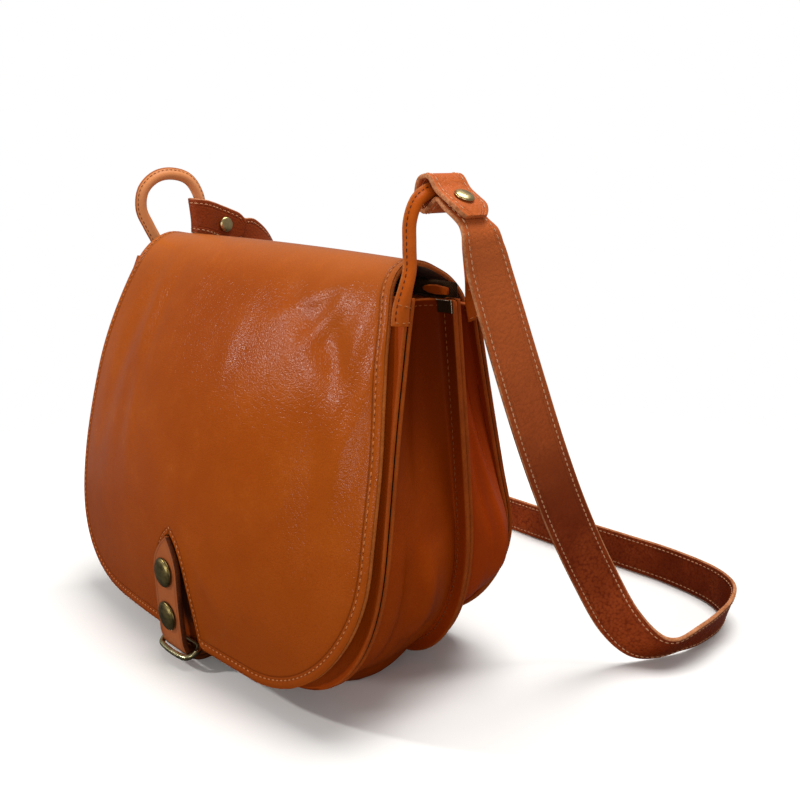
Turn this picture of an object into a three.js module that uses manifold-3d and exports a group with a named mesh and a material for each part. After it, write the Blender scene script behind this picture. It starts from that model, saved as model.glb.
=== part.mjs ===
// Crossbody saddle bag in tan leather: two sewn compartments under a full front flap, a studded
// tab and a brass buckle to close it, and a flat shoulder strap riveted round two rolled loops.
// Millimetres. The front faces -Y, +X is the viewer's right, +Z is up. The origin lies on the
// surface that the bag stands on, under the front compartment.

import * as THREE from 'three';
import { mergeVertices } from 'three/addons/utils/BufferGeometryUtils.js';
import Module from 'manifold-3d';

const wasm = await Module();
wasm.setup();

// Leather and sewing
const WALL = 2.0;
const FLAP_WALL = 2.2;
const DIVIDER_WALL = 1.8;
const GAP = 0.4;
const LIP = 5.0;
const FOLD = 9.5;
const SIDE_LEAN = 1.6;

// Flap and closure
const FLAP_HALF = 128.4;
const NOTCH = { half: 15.0, flare: 4.0, flareZ: 19.0, bulgeZ: 58.0, apexZ: 68.0 };
const TAB = { half: 11.4, wall: 2.6, shoulderZ: 50.0 };
const STUD = { capRadius: 7.5, capHeight: 2.4, postRadius: 2.2, postLength: 6.4 };
const STUD_Z = { stud_upper: 49.0, stud_lower: 26.0 };
const BUCKLE = { halfWidth: 14.8, halfDepth: 5.6, bar: 2.0, thick: 1.4, bevel: 0.5, corner: 4.6 };
const BUCKLE_SEAT = { y: -66.2, z: 8.6, tilt: 22 };

// Strap, loops and rivets
const STRAP = { half: 11.0, foldHalf: 10.0, foldRows: 12, easeRows: 4, wall: 2.0 };
const LOOP = { tube: 2.7, flange: 4.2 };
const RIVET = { capRadius: 4.5, capHeight: 1.5, postRadius: 1.7 };

// Zip
const ZIP = { leftX: -113.0, rightX: 115.5, width: 5.2, height: 6.6, corner: 1.2 };

// Outlines of the sewn edges, seen from the front: half widths and heights. The bottom is flat out to
// `flat`, a corner of the power `round` rises to `widest` at `widestZ`, and the side leans to `top`. The
// gussets turn outward by `lip` at the edge. The flap's left corner is the squarer one.
const OUTLINES = {
  front: { flat: 61, lowZ: 9, widest: 129.6, widestZ: 83, top: 115.5, highZ: 190, round: 2.2, lip: LIP },
  middle: { flat: 60, lowZ: 0.4, widest: 116.5, widestZ: 85, top: 115, highZ: 187, round: 2.0, lip: FOLD },
  back: { flat: 44, lowZ: 8, widest: 106.8, widestZ: 80, top: 108, highZ: 182, round: 2.0, lip: LIP },
  flap: { flat: 59.5, lowZ: 12.2, widest: FLAP_HALF, widestZ: 78, round: 1.9, leftRound: 2.5 },
};

// Depth of the three seams at each height
const SEAMS = [
  { z: 0, front: -46.8, middle: 28.0, back: 56.0 },
  { z: 34, front: -46.2, middle: 25.0, back: 60.4 },
  { z: 68, front: -43.5, middle: 21.8, back: 61.2 },
  { z: 102, front: -38.8, middle: 18.8, back: 52.3 },
  { z: 136, front: -32.0, middle: 15.7, back: 42.9 },
  { z: 170, front: -22.6, middle: 12.6, back: 33.6 },
  { z: 190, front: -16.0, middle: 10.7, back: 28.2 },
];

// Sections of the flap from the hem, up the front, over the ridge and down to the back seam
const FLAP_ROWS = [
  { row: 0, edgeY: -55.6, edgeZ: 12.2, midY: -63.5, midZ: 12.2, half: 128.6 },
  { row: 1, edgeY: -53.5, edgeZ: 50.0, midY: -68.7, midZ: 50.0, half: 128.6 },
  { row: 2, edgeY: -48.7, edgeZ: 85.0, midY: -66.8, midZ: 85.0, half: 128.4 },
  { row: 3, edgeY: -40.4, edgeZ: 123.0, midY: -57.8, midZ: 123.0, half: 125.4 },
  { row: 4, edgeY: -33.2, edgeZ: 149.0, midY: -48.1, midZ: 149.0, half: 120.4 },
  { row: 5, edgeY: -22.8, edgeZ: 178.0, midY: -32.8, midZ: 178.0, half: 112.2 },
  { row: 6, edgeY: -15.6, edgeZ: 194.0, midY: -21.2, midZ: 194.8, half: 105.8 },
  { row: 7, edgeY: -7.0, edgeZ: 201.0, midY: -7.5, midZ: 203.2, half: 102.4 },
  { row: 8, edgeY: 3.6, edgeZ: 200.6, midY: 4.2, midZ: 202.4, half: 100.6 },
  { row: 9, edgeY: 14.0, edgeZ: 197.2, midY: 14.6, midZ: 198.8, half: 97.8 },
  { row: 10, edgeY: 24.5, edgeZ: 192.4, midY: 25.0, midZ: 193.4, half: 95.6 },
  { row: 11, edgeY: 32.6, edgeZ: 185.5, midY: 32.6, midZ: 185.5, half: 95.0 },
  { row: 12, edgeY: 35.4, edgeZ: 179.0, midY: 35.4, midZ: 179.0, half: 95.0 },
  { row: 13, edgeY: 37.6, edgeZ: 170.0, midY: 37.6, midZ: 170.0, half: 94.0 },
];

// Soft ripples of the flap: centre, turn from upright, reach along and across, and depth inward
const FLAP_FOLDS = [
  { x: -82, z: 150, turn: 14, long: 52, wide: 9, deep: 1.6 },
  { x: -58, z: 152, turn: 10, long: 48, wide: 8, deep: 1.1 },
  { x: 84, z: 168, turn: -38, long: 40, wide: 8, deep: 1.8 },
  { x: 64, z: 176, turn: -58, long: 34, wide: 7, deep: 1.4 },
  { x: 96, z: 96, turn: -8, long: 46, wide: 10, deep: 1.5 },
];

// How far the gussets stand out from the line between their seams, at each height
const GUSSET_SWELL = [
  { z: 0, front: 20.0, rear: 0.0 },
  { z: 12, front: 14.2, rear: -0.8 },
  { z: 16, front: 6.0, rear: -0.8 },
  { z: 22, front: 5.0, rear: -0.4 },
  { z: 32, front: 5.5, rear: 1.2 },
  { z: 45, front: 7.5, rear: 7.6 },
  { z: 60, front: 7.5, rear: 12.0 },
  { z: 76, front: 5.0, rear: 11.5 },
  { z: 95, front: 1.0, rear: 6.5 },
  { z: 130, front: -4.0, rear: -0.7 },
  { z: 165, front: -6.0, rear: -4.2 },
  { z: 190, front: -4.5, rear: -4.5 },
];

// Creases of the gussets: height, place across from the first seam to the second, reaches and depth inward
const GUSSET_FOLDS = {
  front: [
    { z: 58, across: 0.34, tall: 26, wide: 0.1, deep: 4.0 },
    { z: 34, across: 0.66, tall: 12, wide: 0.16, deep: 3.0 },
    { z: 120, across: 0.5, tall: 40, wide: 0.12, deep: 2.0 },
  ],
  rear: [
    { z: 88, across: 0.36, tall: 34, wide: 0.12, deep: 4.5 },
    { z: 118, across: 0.7, tall: 36, wide: 0.12, deep: 3.0 },
    { z: 46, across: 0.55, tall: 12, wide: 0.2, deep: 3.5 },
  ],
};

// Middle line of the closure tab, from its point down the notch, through the buckle and under the hem
const TAB_LINE = [
  { y: -70.7, z: 66.7 }, { y: -71.6, z: 58.0 }, { y: -71.8, z: 50.0 }, { y: -71.2, z: 34.0 },
  { y: -70.2, z: 20.0 }, { y: -69.2, z: 12.5 }, { y: -66.6, z: 7.0 }, { y: -61.6, z: 4.2 },
  { y: -55.0, z: 4.0 }, { y: -47.5, z: 5.2 },
];

// Loops from the front end over the top to the rear end: centre line, half width and half thickness. The left
// loop leans back behind the flap's corner, and the strap's fold presses the right loop down.
const LOOP_ROWS = {
  right: [
    { x: 119.5, y: -25.0, z: 177.0, half: 2.6, thick: 1.7 },
    { x: 119.5, y: -24.5, z: 184.0, half: 2.7, thick: 2.0 },
    { x: 118.9, y: -22.0, z: 193.0, half: LOOP.tube, thick: LOOP.tube },
    { x: 117.4, y: -19.2, z: 202.0, half: LOOP.tube, thick: LOOP.tube },
    { x: 115.2, y: -17.4, z: 212.0, half: LOOP.tube, thick: LOOP.tube },
    { x: 113.2, y: -15.4, z: 221.0, half: LOOP.tube, thick: LOOP.tube },
    { x: 111.4, y: -10.2, z: 228.4, half: LOOP.tube, thick: LOOP.tube },
    { x: 110.5, y: -3.0, z: 231.8, half: LOOP.tube, thick: LOOP.tube },
    { x: 110.5, y: 6.0, z: 232.8, half: LOOP.tube, thick: LOOP.tube },
    { x: 110.4, y: 15.2, z: 230.4, half: LOOP.tube, thick: LOOP.tube },
    { x: 110.2, y: 19.6, z: 221.6, half: LOOP.tube, thick: LOOP.tube },
    { x: 110.1, y: 21.2, z: 207.0, half: LOOP.tube, thick: LOOP.tube },
    { x: 109.9, y: 23.6, z: 195.0, half: 3.6, thick: 2.2 },
    { x: 109.8, y: 26.2, z: 186.0, half: 6.2, thick: 1.2 },
    { x: 109.8, y: 28.6, z: 177.0, half: 6.4, thick: 1.1 },
  ],
  left: [
    { x: -108.2, y: -5.5, z: 176.0, half: 5.4, thick: 1.1 },
    { x: -108.2, y: -5.5, z: 182.0, half: 5.2, thick: 1.2 },
    { x: -109.6, y: -5.8, z: 189.5, half: 3.4, thick: 2.0 },
    { x: -111.4, y: -7.4, z: 198.0, half: LOOP.tube, thick: LOOP.tube },
    { x: -112.2, y: -11.6, z: 207.0, half: LOOP.tube, thick: LOOP.tube },
    { x: -112.4, y: -15.4, z: 216.0, half: LOOP.tube, thick: LOOP.tube },
    { x: -111.2, y: -14.4, z: 226.0, half: LOOP.tube, thick: LOOP.tube },
    { x: -110.5, y: -7.6, z: 232.6, half: LOOP.tube, thick: LOOP.tube },
    { x: -110.5, y: 2.0, z: 234.6, half: LOOP.tube, thick: LOOP.tube },
    { x: -110.4, y: 13.0, z: 231.6, half: LOOP.tube, thick: LOOP.tube },
    { x: -110.2, y: 19.0, z: 223.0, half: LOOP.tube, thick: LOOP.tube },
    { x: -110.1, y: 21.2, z: 207.0, half: LOOP.tube, thick: LOOP.tube },
    { x: -109.9, y: 23.6, z: 195.0, half: 3.6, thick: 2.2 },
    { x: -109.8, y: 26.2, z: 186.0, half: 6.2, thick: 1.2 },
    { x: -109.8, y: 28.6, z: 177.0, half: 6.4, thick: 1.1 },
  ],
};

// Shoulder strap from its right tip over the right loop, down to the surface, round behind the bag and up
// to its left tip: centre line, and the way its width points: `turn` in plan from +X and `rise` above level
const STRAP_ROWS = [
  { x: 130.4, y: 5.0, z: 222.8, turn: 90, rise: 0 },
  { x: 127.0, y: 5.0, z: 226.9, turn: 90, rise: 0 },
  { x: 122.6, y: 5.0, z: 229.6, turn: 90, rise: 0 },
  { x: 116.8, y: 5.0, z: 233.2, turn: 90, rise: 0 },
  { x: 111.6, y: 5.0, z: 238.6, turn: 90, rise: 0 },
  { x: 106.4, y: 5.0, z: 237.6, turn: 90, rise: 0 },
  { x: 104.4, y: 5.0, z: 232.0, turn: 90, rise: 0 },
  { x: 105.4, y: 5.0, z: 226.8, turn: 90, rise: 0 },
  { x: 109.3, y: 5.0, z: 224.4, turn: 90, rise: 0 },
  { x: 113.2, y: 5.0, z: 227.2, turn: 90, rise: 0 },
  { x: 116.6, y: 5.0, z: 229.6, turn: 90, rise: 0 },
  { x: 121.0, y: 5.0, z: 226.7, turn: 90, rise: 0 },
  { x: 126.2, y: 5.2, z: 222.9, turn: 90, rise: 0 },
  { x: 130.6, y: 6.5, z: 216.6, turn: 88, rise: 0 },
  { x: 131.3, y: 9.0, z: 209.0, turn: 84, rise: 0 },
  { x: 131.4, y: 12.0, z: 201.0, turn: 80, rise: 0 },
  { x: 133.1, y: 19.9, z: 179.0, turn: 75, rise: 5 },
  { x: 135.3, y: 29.0, z: 153.6, turn: 70, rise: 10 },
  { x: 137.1, y: 43.3, z: 119.0, turn: 65, rise: 16 },
  { x: 138.4, y: 60.0, z: 85.0, turn: 60, rise: 21 },
  { x: 140.9, y: 79.2, z: 51.0, turn: 57, rise: 25 },
  { x: 148.7, y: 91.9, z: 25.0, turn: 41, rise: 38 },
  { x: 156.6, y: 102.5, z: 11.4, turn: 22, rise: 40 },
  { x: 162.4, y: 112.5, z: 8.2, turn: -14, rise: 39 },
  { x: 166.4, y: 129.0, z: 10.4, turn: -12, rise: 61 },
  { x: 165.2, y: 148.3, z: 10.8, turn: -6, rise: 66 },
  { x: 161.6, y: 166.6, z: 11.1, turn: 8, rise: 71 },
  { x: 153.6, y: 182.0, z: 11.3, turn: 30, rise: 77 },
  { x: 138.0, y: 192.5, z: 11.4, turn: 55, rise: 83 },
  { x: 106.0, y: 198.5, z: 11.3, turn: 90, rise: 89 },
  { x: 72.0, y: 198.0, z: 11.3, turn: 90, rise: 89 },
  { x: 34.0, y: 196.5, z: 11.3, turn: 90, rise: 89 },
  { x: -6.0, y: 196.3, z: 11.3, turn: 90, rise: 89 },
  { x: -46.0, y: 196.3, z: 11.3, turn: 90, rise: 89 },
  { x: -82.0, y: 196.0, z: 11.3, turn: 90, rise: 89 },
  { x: -109.0, y: 192.5, z: 11.3, turn: 110, rise: 84 },
  { x: -127.0, y: 184.0, z: 10.8, turn: 140, rise: 66 },
  { x: -139.0, y: 171.0, z: 8.9, turn: 160, rise: 45 },
  { x: -145.0, y: 156.5, z: 6.0, turn: 170, rise: 25 },
  { x: -146.0, y: 142.0, z: 4.5, turn: 172, rise: 14 },
  { x: -142.5, y: 129.0, z: 7.5, turn: 170, rise: 12 },
  { x: -136.0, y: 120.5, z: 23.0, turn: 168, rise: 10 },
  { x: -129.0, y: 114.5, z: 52.0, turn: 168, rise: 9 },
  { x: -121.5, y: 107.5, z: 93.0, turn: 168, rise: 8 },
  { x: -118.0, y: 98.0, z: 136.0, turn: 168, rise: 10 },
  { x: -115.5, y: 84.5, z: 168.0, turn: 162, rise: 18 },
  { x: -113.0, y: 70.0, z: 188.0, turn: 140, rise: 42 },
  { x: -111.4, y: 57.0, z: 197.0, turn: 105, rise: 65 },
  { x: -110.9, y: 49.0, z: 200.3, turn: 90, rise: 69 },
  { x: -110.9, y: 42.5, z: 202.8, turn: 90, rise: 69 },
  { x: -110.9, y: 35.7, z: 205.5, turn: 90, rise: 70 },
  { x: -111.2, y: 30.5, z: 207.4, turn: 90, rise: 74 },
  { x: -113.6, y: 25.5, z: 209.0, turn: 90, rise: 82 },
  { x: -114.4, y: 20.5, z: 210.4, turn: 90, rise: 91 },
  { x: -113.0, y: 16.7, z: 211.2, turn: 90, rise: 96 },
  { x: -110.0, y: 15.4, z: 211.5, turn: 90, rise: 97 },
  { x: -107.0, y: 16.7, z: 211.2, turn: 90, rise: 96 },
  { x: -105.6, y: 20.5, z: 210.4, turn: 90, rise: 91 },
  { x: -106.2, y: 25.5, z: 209.0, turn: 90, rise: 82 },
  { x: -108.1, y: 30.5, z: 207.4, turn: 90, rise: 74 },
  { x: -108.4, y: 35.7, z: 205.5, turn: 90, rise: 70 },
  { x: -108.4, y: 42.5, z: 202.8, turn: 90, rise: 69 },
  { x: -108.2, y: 48.5, z: 200.5, turn: 90, rise: 69 },
];

// Rivets of the strap's folds: the rows of the upper and lower layer that each one goes through
const RIVET_ROWS = {
  rivet_right: { outer: 2, inner: 11 },
  rivet_left: { outer: STRAP_ROWS.length - 3, inner: STRAP_ROWS.length - 13 },
};

const COLOURS = {
  leather: { color: 0xa9581f, roughness: 0.38, metalness: 0 },
  darkLeather: { color: 0x8a3f1c, roughness: 0.42, metalness: 0 },
  brass: { color: 0x8f8050, roughness: 0.35, metalness: 1 },
  paleBrass: { color: 0xc9b27a, roughness: 0.28, metalness: 1 },
  tape: { color: 0x5b4a2a, roughness: 0.85, metalness: 0 },
};

const bag = new THREE.Group();

function place(name, geometry, finish) {
  const mesh = new THREE.Mesh(geometry, new THREE.MeshStandardMaterial(finish));
  mesh.name = name;
  bag.add(mesh);
  return mesh;
}

// Smooth curve through one column of a table
function smooth(rows, key, name) {
  const last = rows.length - 1;
  const slope = (i) => {
    const before = rows[Math.max(i - 1, 0)];
    const after = rows[Math.min(i + 1, last)];
    return (after[name] - before[name]) / (after[key] - before[key]);
  };
  return (value) => {
    const at = THREE.MathUtils.clamp(value, rows[0][key], rows[last][key]);
    let i = 0;
    while (i < last - 1 && rows[i + 1][key] < at) i += 1;
    const span = rows[i + 1][key] - rows[i][key];
    const t = (at - rows[i][key]) / span;
    const ease = 3 * t ** 2 - 2 * t ** 3;
    const level = (1 - ease) * rows[i][name] + ease * rows[i + 1][name];
    const bend = (t ** 3 - 2 * t ** 2 + t) * slope(i) + (t ** 3 - t ** 2) * slope(i + 1);
    return level + bend * span;
  };
}

// Closed geometry from points and triangles, turned so that its faces point outward
function closed(points, triangles) {
  const volume = triangles.reduce((sum, [a, b, c]) => {
    return sum + points[a].dot(new THREE.Vector3().crossVectors(points[b], points[c])) / 6;
  }, 0);
  const order = volume < 0 ? ([a, b, c]) => [a, c, b] : (triangle) => triangle;
  const geometry = new THREE.BufferGeometry().setFromPoints(points);
  geometry.setIndex(triangles.flatMap(order));
  return geometry;
}

// Sheet of even thickness on both sides of a grid of points
function sheet(point, columns, rows, thickness) {
  const grid = Array.from({ length: columns + 1 }, (_, i) => {
    return Array.from({ length: rows + 1 }, (_, j) => point(i / columns, j / rows, i, j));
  });
  const near = (i, last) => [Math.max(i - 1, 0), Math.min(i + 1, last)];
  const normal = (i, j) => {
    const [i0, i1] = near(i, columns);
    const [j0, j1] = near(j, rows);
    const along = new THREE.Vector3().subVectors(grid[i1][j], grid[i0][j]);
    const up = new THREE.Vector3().subVectors(grid[i][j1], grid[i][j0]);
    return along.cross(up).normalize();
  };
  const points = [];
  for (const side of [1, -1]) {
    for (let i = 0; i <= columns; i += 1) {
      for (let j = 0; j <= rows; j += 1) {
        points.push(grid[i][j].clone().addScaledVector(normal(i, j), side * thickness / 2));
      }
    }
  }
  const outer = (i, j) => i * (rows + 1) + j;
  const inner = (i, j) => (columns + 1) * (rows + 1) + outer(i, j);
  const triangles = [];
  const quad = (a, b, c, d) => triangles.push([a, b, c], [a, c, d]);
  for (let i = 0; i < columns; i += 1) {
    for (let j = 0; j < rows; j += 1) {
      quad(outer(i, j), outer(i + 1, j), outer(i + 1, j + 1), outer(i, j + 1));
      quad(inner(i, j), inner(i, j + 1), inner(i + 1, j + 1), inner(i + 1, j));
    }
    quad(outer(i + 1, 0), outer(i, 0), inner(i, 0), inner(i + 1, 0));
    quad(outer(i, rows), outer(i + 1, rows), inner(i + 1, rows), inner(i, rows));
  }
  for (let j = 0; j < rows; j += 1) {
    quad(outer(0, j), outer(0, j + 1), inner(0, j + 1), inner(0, j));
    quad(outer(columns, j + 1), outer(columns, j), inner(columns, j), inner(columns, j + 1));
  }
  return closed(points, triangles);
}

// Solid swept through stations, each with a centre, two directions and a ring of section points
function sweep(stations) {
  const size = stations[0].section.length;
  const points = stations.flatMap(({ centre, wide, deep, section }) => {
    return section.map(([a, b]) => centre.clone().addScaledVector(wide, a).addScaledVector(deep, b));
  });
  const triangles = [];
  for (let k = 0; k < stations.length - 1; k += 1) {
    for (let m = 0; m < size; m += 1) {
      const next = (m + 1) % size;
      const low = k * size;
      const high = low + size;
      triangles.push([low + m, low + next, high + next], [low + m, high + next, high + m]);
    }
  }
  const end = (stations.length - 1) * size;
  for (let m = 1; m < size - 1; m += 1) {
    triangles.push([0, m + 1, m], [end, end + m, end + m + 1]);
  }
  return closed(points, triangles);
}

function toSolid(geometry) {
  const bare = geometry.clone();
  bare.deleteAttribute('normal');
  bare.deleteAttribute('uv');
  const merged = mergeVertices(bare, 1e-4);
  return new wasm.Manifold(new wasm.Mesh({
    numProp: 3,
    vertProperties: new Float32Array(merged.attributes.position.array),
    triVerts: new Uint32Array(merged.index.array),
  }));
}

function cut(geometry, ...tools) {
  const result = tools.reduce((solid, tool) => solid.subtract(toSolid(tool)), toSolid(geometry)).getMesh();
  const mesh = new THREE.BufferGeometry();
  mesh.setAttribute('position', new THREE.BufferAttribute(result.vertProperties, 3));
  mesh.setIndex(new THREE.BufferAttribute(result.triVerts, 1));
  return mesh;
}

// Points of an outline's right side, from the end of its flat bottom to its top
function sidePoints(outline) {
  const { flat, lowZ, widest, widestZ, top, highZ, round } = outline;
  const cornerSteps = 24;
  const sideSteps = 16;
  const points = [];
  for (let k = 0; k <= cornerSteps; k += 1) {
    const angle = (k / cornerSteps) * Math.PI / 2;
    points.push(new THREE.Vector2(
      flat + (widest - flat) * Math.sin(angle) ** (2 / round),
      widestZ - (widestZ - lowZ) * Math.cos(angle) ** (2 / round),
    ));
  }
  for (let k = 1; k <= sideSteps; k += 1) {
    const t = k / sideSteps;
    points.push(new THREE.Vector2(widest + (top - widest) * t ** SIDE_LEAN, widestZ + (highZ - widestZ) * t));
  }
  return points;
}

const sideCurve = (outline) => new THREE.SplineCurve(sidePoints(outline));

// Right half of an outline from the middle of its bottom to its top
function halfCurve(outline) {
  const flatSteps = 8;
  const bottom = Array.from({ length: flatSteps }, (_, k) => {
    return new THREE.Vector2(outline.flat * k / flatSteps, outline.lowZ);
  });
  return new THREE.SplineCurve([...bottom, ...sidePoints(outline)]);
}

const seamY = {
  front: smooth(SEAMS, 'z', 'front'),
  middle: smooth(SEAMS, 'z', 'middle'),
  back: smooth(SEAMS, 'z', 'back'),
};

// Half a wall, half a gap: how far a panel's middle lies from its seam
const PANEL_OFFSET = (WALL + GAP) / 2;
const DIVIDER_OFFSET = (DIVIDER_WALL + WALL) / 2 + GAP;

// The flap, bulging forward between its edges
const flapColumn = Object.fromEntries(
  ['edgeY', 'edgeZ', 'midY', 'midZ', 'half'].map((name) => [name, smooth(FLAP_ROWS, 'row', name)]),
);

function flapHalf(row, round) {
  const { flat, lowZ, widest, widestZ } = OUTLINES.flap;
  const z = flapColumn.edgeZ(row);
  if (row > 2 || z >= widestZ) return flapColumn.half(row);
  const rise = THREE.MathUtils.clamp((widestZ - z) / (widestZ - lowZ), 0, 1);
  return flat + (widest - flat) * (1 - rise ** round) ** (1 / round);
}

function foldDepth(folds, x, z) {
  return folds.reduce((sum, fold) => {
    const turn = THREE.MathUtils.degToRad(fold.turn);
    const along = (z - fold.z) * Math.cos(turn) + (x - fold.x) * Math.sin(turn);
    const across = (x - fold.x) * Math.cos(turn) - (z - fold.z) * Math.sin(turn);
    return sum + fold.deep * Math.exp(-((along / fold.long) ** 2) - (across / fold.wide) ** 2);
  }, 0);
}

function flapPoint(x, row) {
  const crown = 1 - (x / FLAP_HALF) ** 2;
  const y = THREE.MathUtils.lerp(flapColumn.edgeY(row), flapColumn.midY(row), crown);
  const z = THREE.MathUtils.lerp(flapColumn.edgeZ(row), flapColumn.midZ(row), crown);
  return new THREE.Vector3(x, y + foldDepth(FLAP_FOLDS, x, z) * (row < 7 ? 1 : 0), z);
}

function makeFlap() {
  const columns = 18;
  const rows = 26;
  const lastRow = FLAP_ROWS.length - 1;
  const hemCrowding = 1.5;
  const wall = sheet((u, v) => {
    const row = lastRow * v ** hemCrowding;
    const corner = u < 0.5 ? OUTLINES.flap.leftRound : OUTLINES.flap.round;
    return flapPoint((2 * u - 1) * flapHalf(row, corner), row);
  }, columns, rows, FLAP_WALL);

  const { half, flare, flareZ, bulgeZ, apexZ } = NOTCH;
  const hemZ = OUTLINES.flap.lowZ;
  const below = 10;
  const arch = new THREE.Shape();
  arch.moveTo(-half - flare, -below);
  arch.lineTo(half + flare, -below);
  arch.lineTo(half + flare, hemZ);
  arch.quadraticCurveTo(half, hemZ, half, flareZ);
  arch.quadraticCurveTo(half, bulgeZ, 0, apexZ);
  arch.quadraticCurveTo(-half, bulgeZ, -half, flareZ);
  arch.quadraticCurveTo(-half, hemZ, -half - flare, hemZ);
  const reach = 40;
  const cutter = new THREE.ExtrudeGeometry(arch, { depth: reach, bevelEnabled: false, curveSegments: 8 });
  cutter.rotateX(Math.PI / 2);
  cutter.translate(0, flapColumn.midY(1) + reach * 0.8, 0);
  return cut(wall, cutter);
}

// A sewn panel whose rows follow its outline's sides
function makePanel(outline, depth, columns, rows, thickness) {
  const side = sideCurve(outline);
  return sheet((u, v) => {
    const edge = side.getPointAt(v);
    const x = (2 * u - 1) * edge.x;
    return new THREE.Vector3(x, depth(x, edge.y, edge.x), edge.y);
  }, columns, rows, thickness);
}

const flapMidByHeight = smooth(FLAP_ROWS.slice(0, 7), 'midZ', 'midY');

function frontPanelDepth(x, z, half) {
  const clearOfFlap = 4.6;
  const edge = seamY.front(z) - PANEL_OFFSET;
  const crown = edge - (flapMidByHeight(z) + clearOfFlap);
  const flatLip = Math.min(1, Math.abs(x) / (half - LIP));
  return edge - crown * (1 - flatLip ** 2) + foldDepth(FLAP_FOLDS, x, z) * (1 - flatLip ** 6);
}

function backPanelDepth(x, z, half) {
  const swell = 7.0;
  const { lowZ, highZ } = OUTLINES.back;
  const height = (z - lowZ) / (highZ - lowZ);
  const upright = Math.max(0, Math.sin(Math.PI * Math.min(1, height * 1.12)));
  return seamY.back(z) + PANEL_OFFSET + swell * upright * (1 - (x / half) ** 2);
}

// Side and bottom wall between two seams, with a lip turned outward along each
function makeGusset(first, second, side, columns, crossings) {
  const swell = smooth(GUSSET_SWELL, 'z', side);
  const ends = [first, second].map(({ seam, offset }) => ({
    curve: halfCurve(OUTLINES[seam]),
    lip: OUTLINES[seam].lip,
    depth: (z) => seamY[seam](z) + offset,
  }));
  const edge = ({ curve, lip, depth }, u, turned) => {
    const at = Math.abs(2 * u - 1);
    const hand = u < 0.5 ? -1 : 1;
    const point = curve.getPointAt(at);
    const run = curve.getTangentAt(at);
    const out = new THREE.Vector2(run.y, -run.x);
    const flat = turned ? point : point.addScaledVector(out, -lip);
    return {
      place: new THREE.Vector3(hand * flat.x, depth(flat.y), flat.y),
      out: new THREE.Vector3(hand * out.x, 0, out.y),
    };
  };
  const aboveFloor = (place) => place.setZ(Math.max(WALL / 2, place.z));
  const crease = (z, s) => GUSSET_FOLDS[side].reduce((sum, fold) => {
    const up = (z - fold.z) / fold.tall;
    const across = (s - fold.across) / fold.wide;
    return sum + fold.deep * Math.exp(-(up ** 2) - across ** 2);
  }, 0);
  return sheet((u, v, i, j) => {
    if (j === 0) return aboveFloor(edge(ends[0], u, true).place);
    if (j === crossings) return aboveFloor(edge(ends[1], u, true).place);
    const s = (j - 1) / (crossings - 2);
    const from = edge(ends[0], u, false);
    const to = edge(ends[1], u, false);
    const place = from.place.lerp(to.place, s);
    const out = from.out.lerp(to.out, s).normalize();
    const arch = Math.sin(Math.PI * s) ** 0.8;
    place.addScaledVector(out, (swell(place.z) - crease(place.z, s)) * arch);
    return aboveFloor(place);
  }, columns, crossings, WALL);
}

// Flat ring of section points for a leather strip with rounded edges
function stripSection(half, wall) {
  const edge = wall * 0.45;
  return [
    [-half, 0], [-half + edge, -wall / 2], [half - edge, -wall / 2],
    [half, 0], [half - edge, wall / 2], [-half + edge, wall / 2],
  ];
}

function makeTab() {
  const line = new THREE.CatmullRomCurve3(TAB_LINE.map(({ y, z }) => new THREE.Vector3(0, y, z)));
  const steps = 22;
  const tip = TAB_LINE[0].z;
  const wide = new THREE.Vector3(1, 0, 0);
  const stations = Array.from({ length: steps + 1 }, (_, k) => {
    const at = (k / steps) ** 1.2;
    const centre = line.getPointAt(at);
    const deep = new THREE.Vector3().crossVectors(wide, line.getTangentAt(at)).normalize();
    const rise = THREE.MathUtils.clamp((tip - centre.z) / (tip - TAB.shoulderZ), 0.02, 1);
    const half = at > 0.5 ? TAB.half : 1.2 + (TAB.half - 1.2) * Math.sin(rise * Math.PI / 2);
    return { centre, wide, deep, section: stripSection(half, TAB.wall) };
  });
  const holes = Object.values(STUD_Z).map((z) => {
    const hole = new THREE.CylinderGeometry(STUD.postRadius + GAP, STUD.postRadius + GAP, 20, 16);
    return hole.rotateX(tabLean(z)).translate(0, tabFace(z), z);
  });
  return cut(sweep(stations), ...holes);
}

const tabByHeight = smooth([...TAB_LINE.slice(0, 6)].reverse(), 'z', 'y');
const tabFace = (z) => tabByHeight(z) - TAB.wall / 2;
const tabLean = (z) => Math.atan2((tabByHeight(z + 5) - tabByHeight(z - 5)) / 10, -1);

function makeStud(z) {
  const { capRadius, capHeight, postRadius, postLength } = STUD;
  const profile = [
    [0, capHeight], [capRadius * 0.45, capHeight * 0.93], [capRadius * 0.78, capHeight * 0.66],
    [capRadius * 0.97, capHeight * 0.28], [capRadius, 0.1], [capRadius * 0.96, 0], [postRadius, 0],
    [postRadius, -postLength], [0, -postLength],
  ].reverse().map(([r, y]) => new THREE.Vector2(r, y));
  const seat = GAP + 0.2;
  const stud = new THREE.LatheGeometry(profile, 16);
  return stud.rotateX(tabLean(z)).translate(0, tabFace(z) - seat, z);
}

function roundedFrame(shape, halfWidth, halfDepth, corner) {
  shape.moveTo(-halfWidth + corner, -halfDepth);
  shape.lineTo(halfWidth - corner, -halfDepth);
  shape.absarc(halfWidth - corner, -halfDepth + corner, corner, -Math.PI / 2, 0);
  shape.absarc(halfWidth - corner, halfDepth - corner, corner, 0, Math.PI / 2);
  shape.absarc(-halfWidth + corner, halfDepth - corner, corner, Math.PI / 2, Math.PI);
  shape.absarc(-halfWidth + corner, -halfDepth + corner, corner, Math.PI, Math.PI * 1.5);
  return shape;
}

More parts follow.
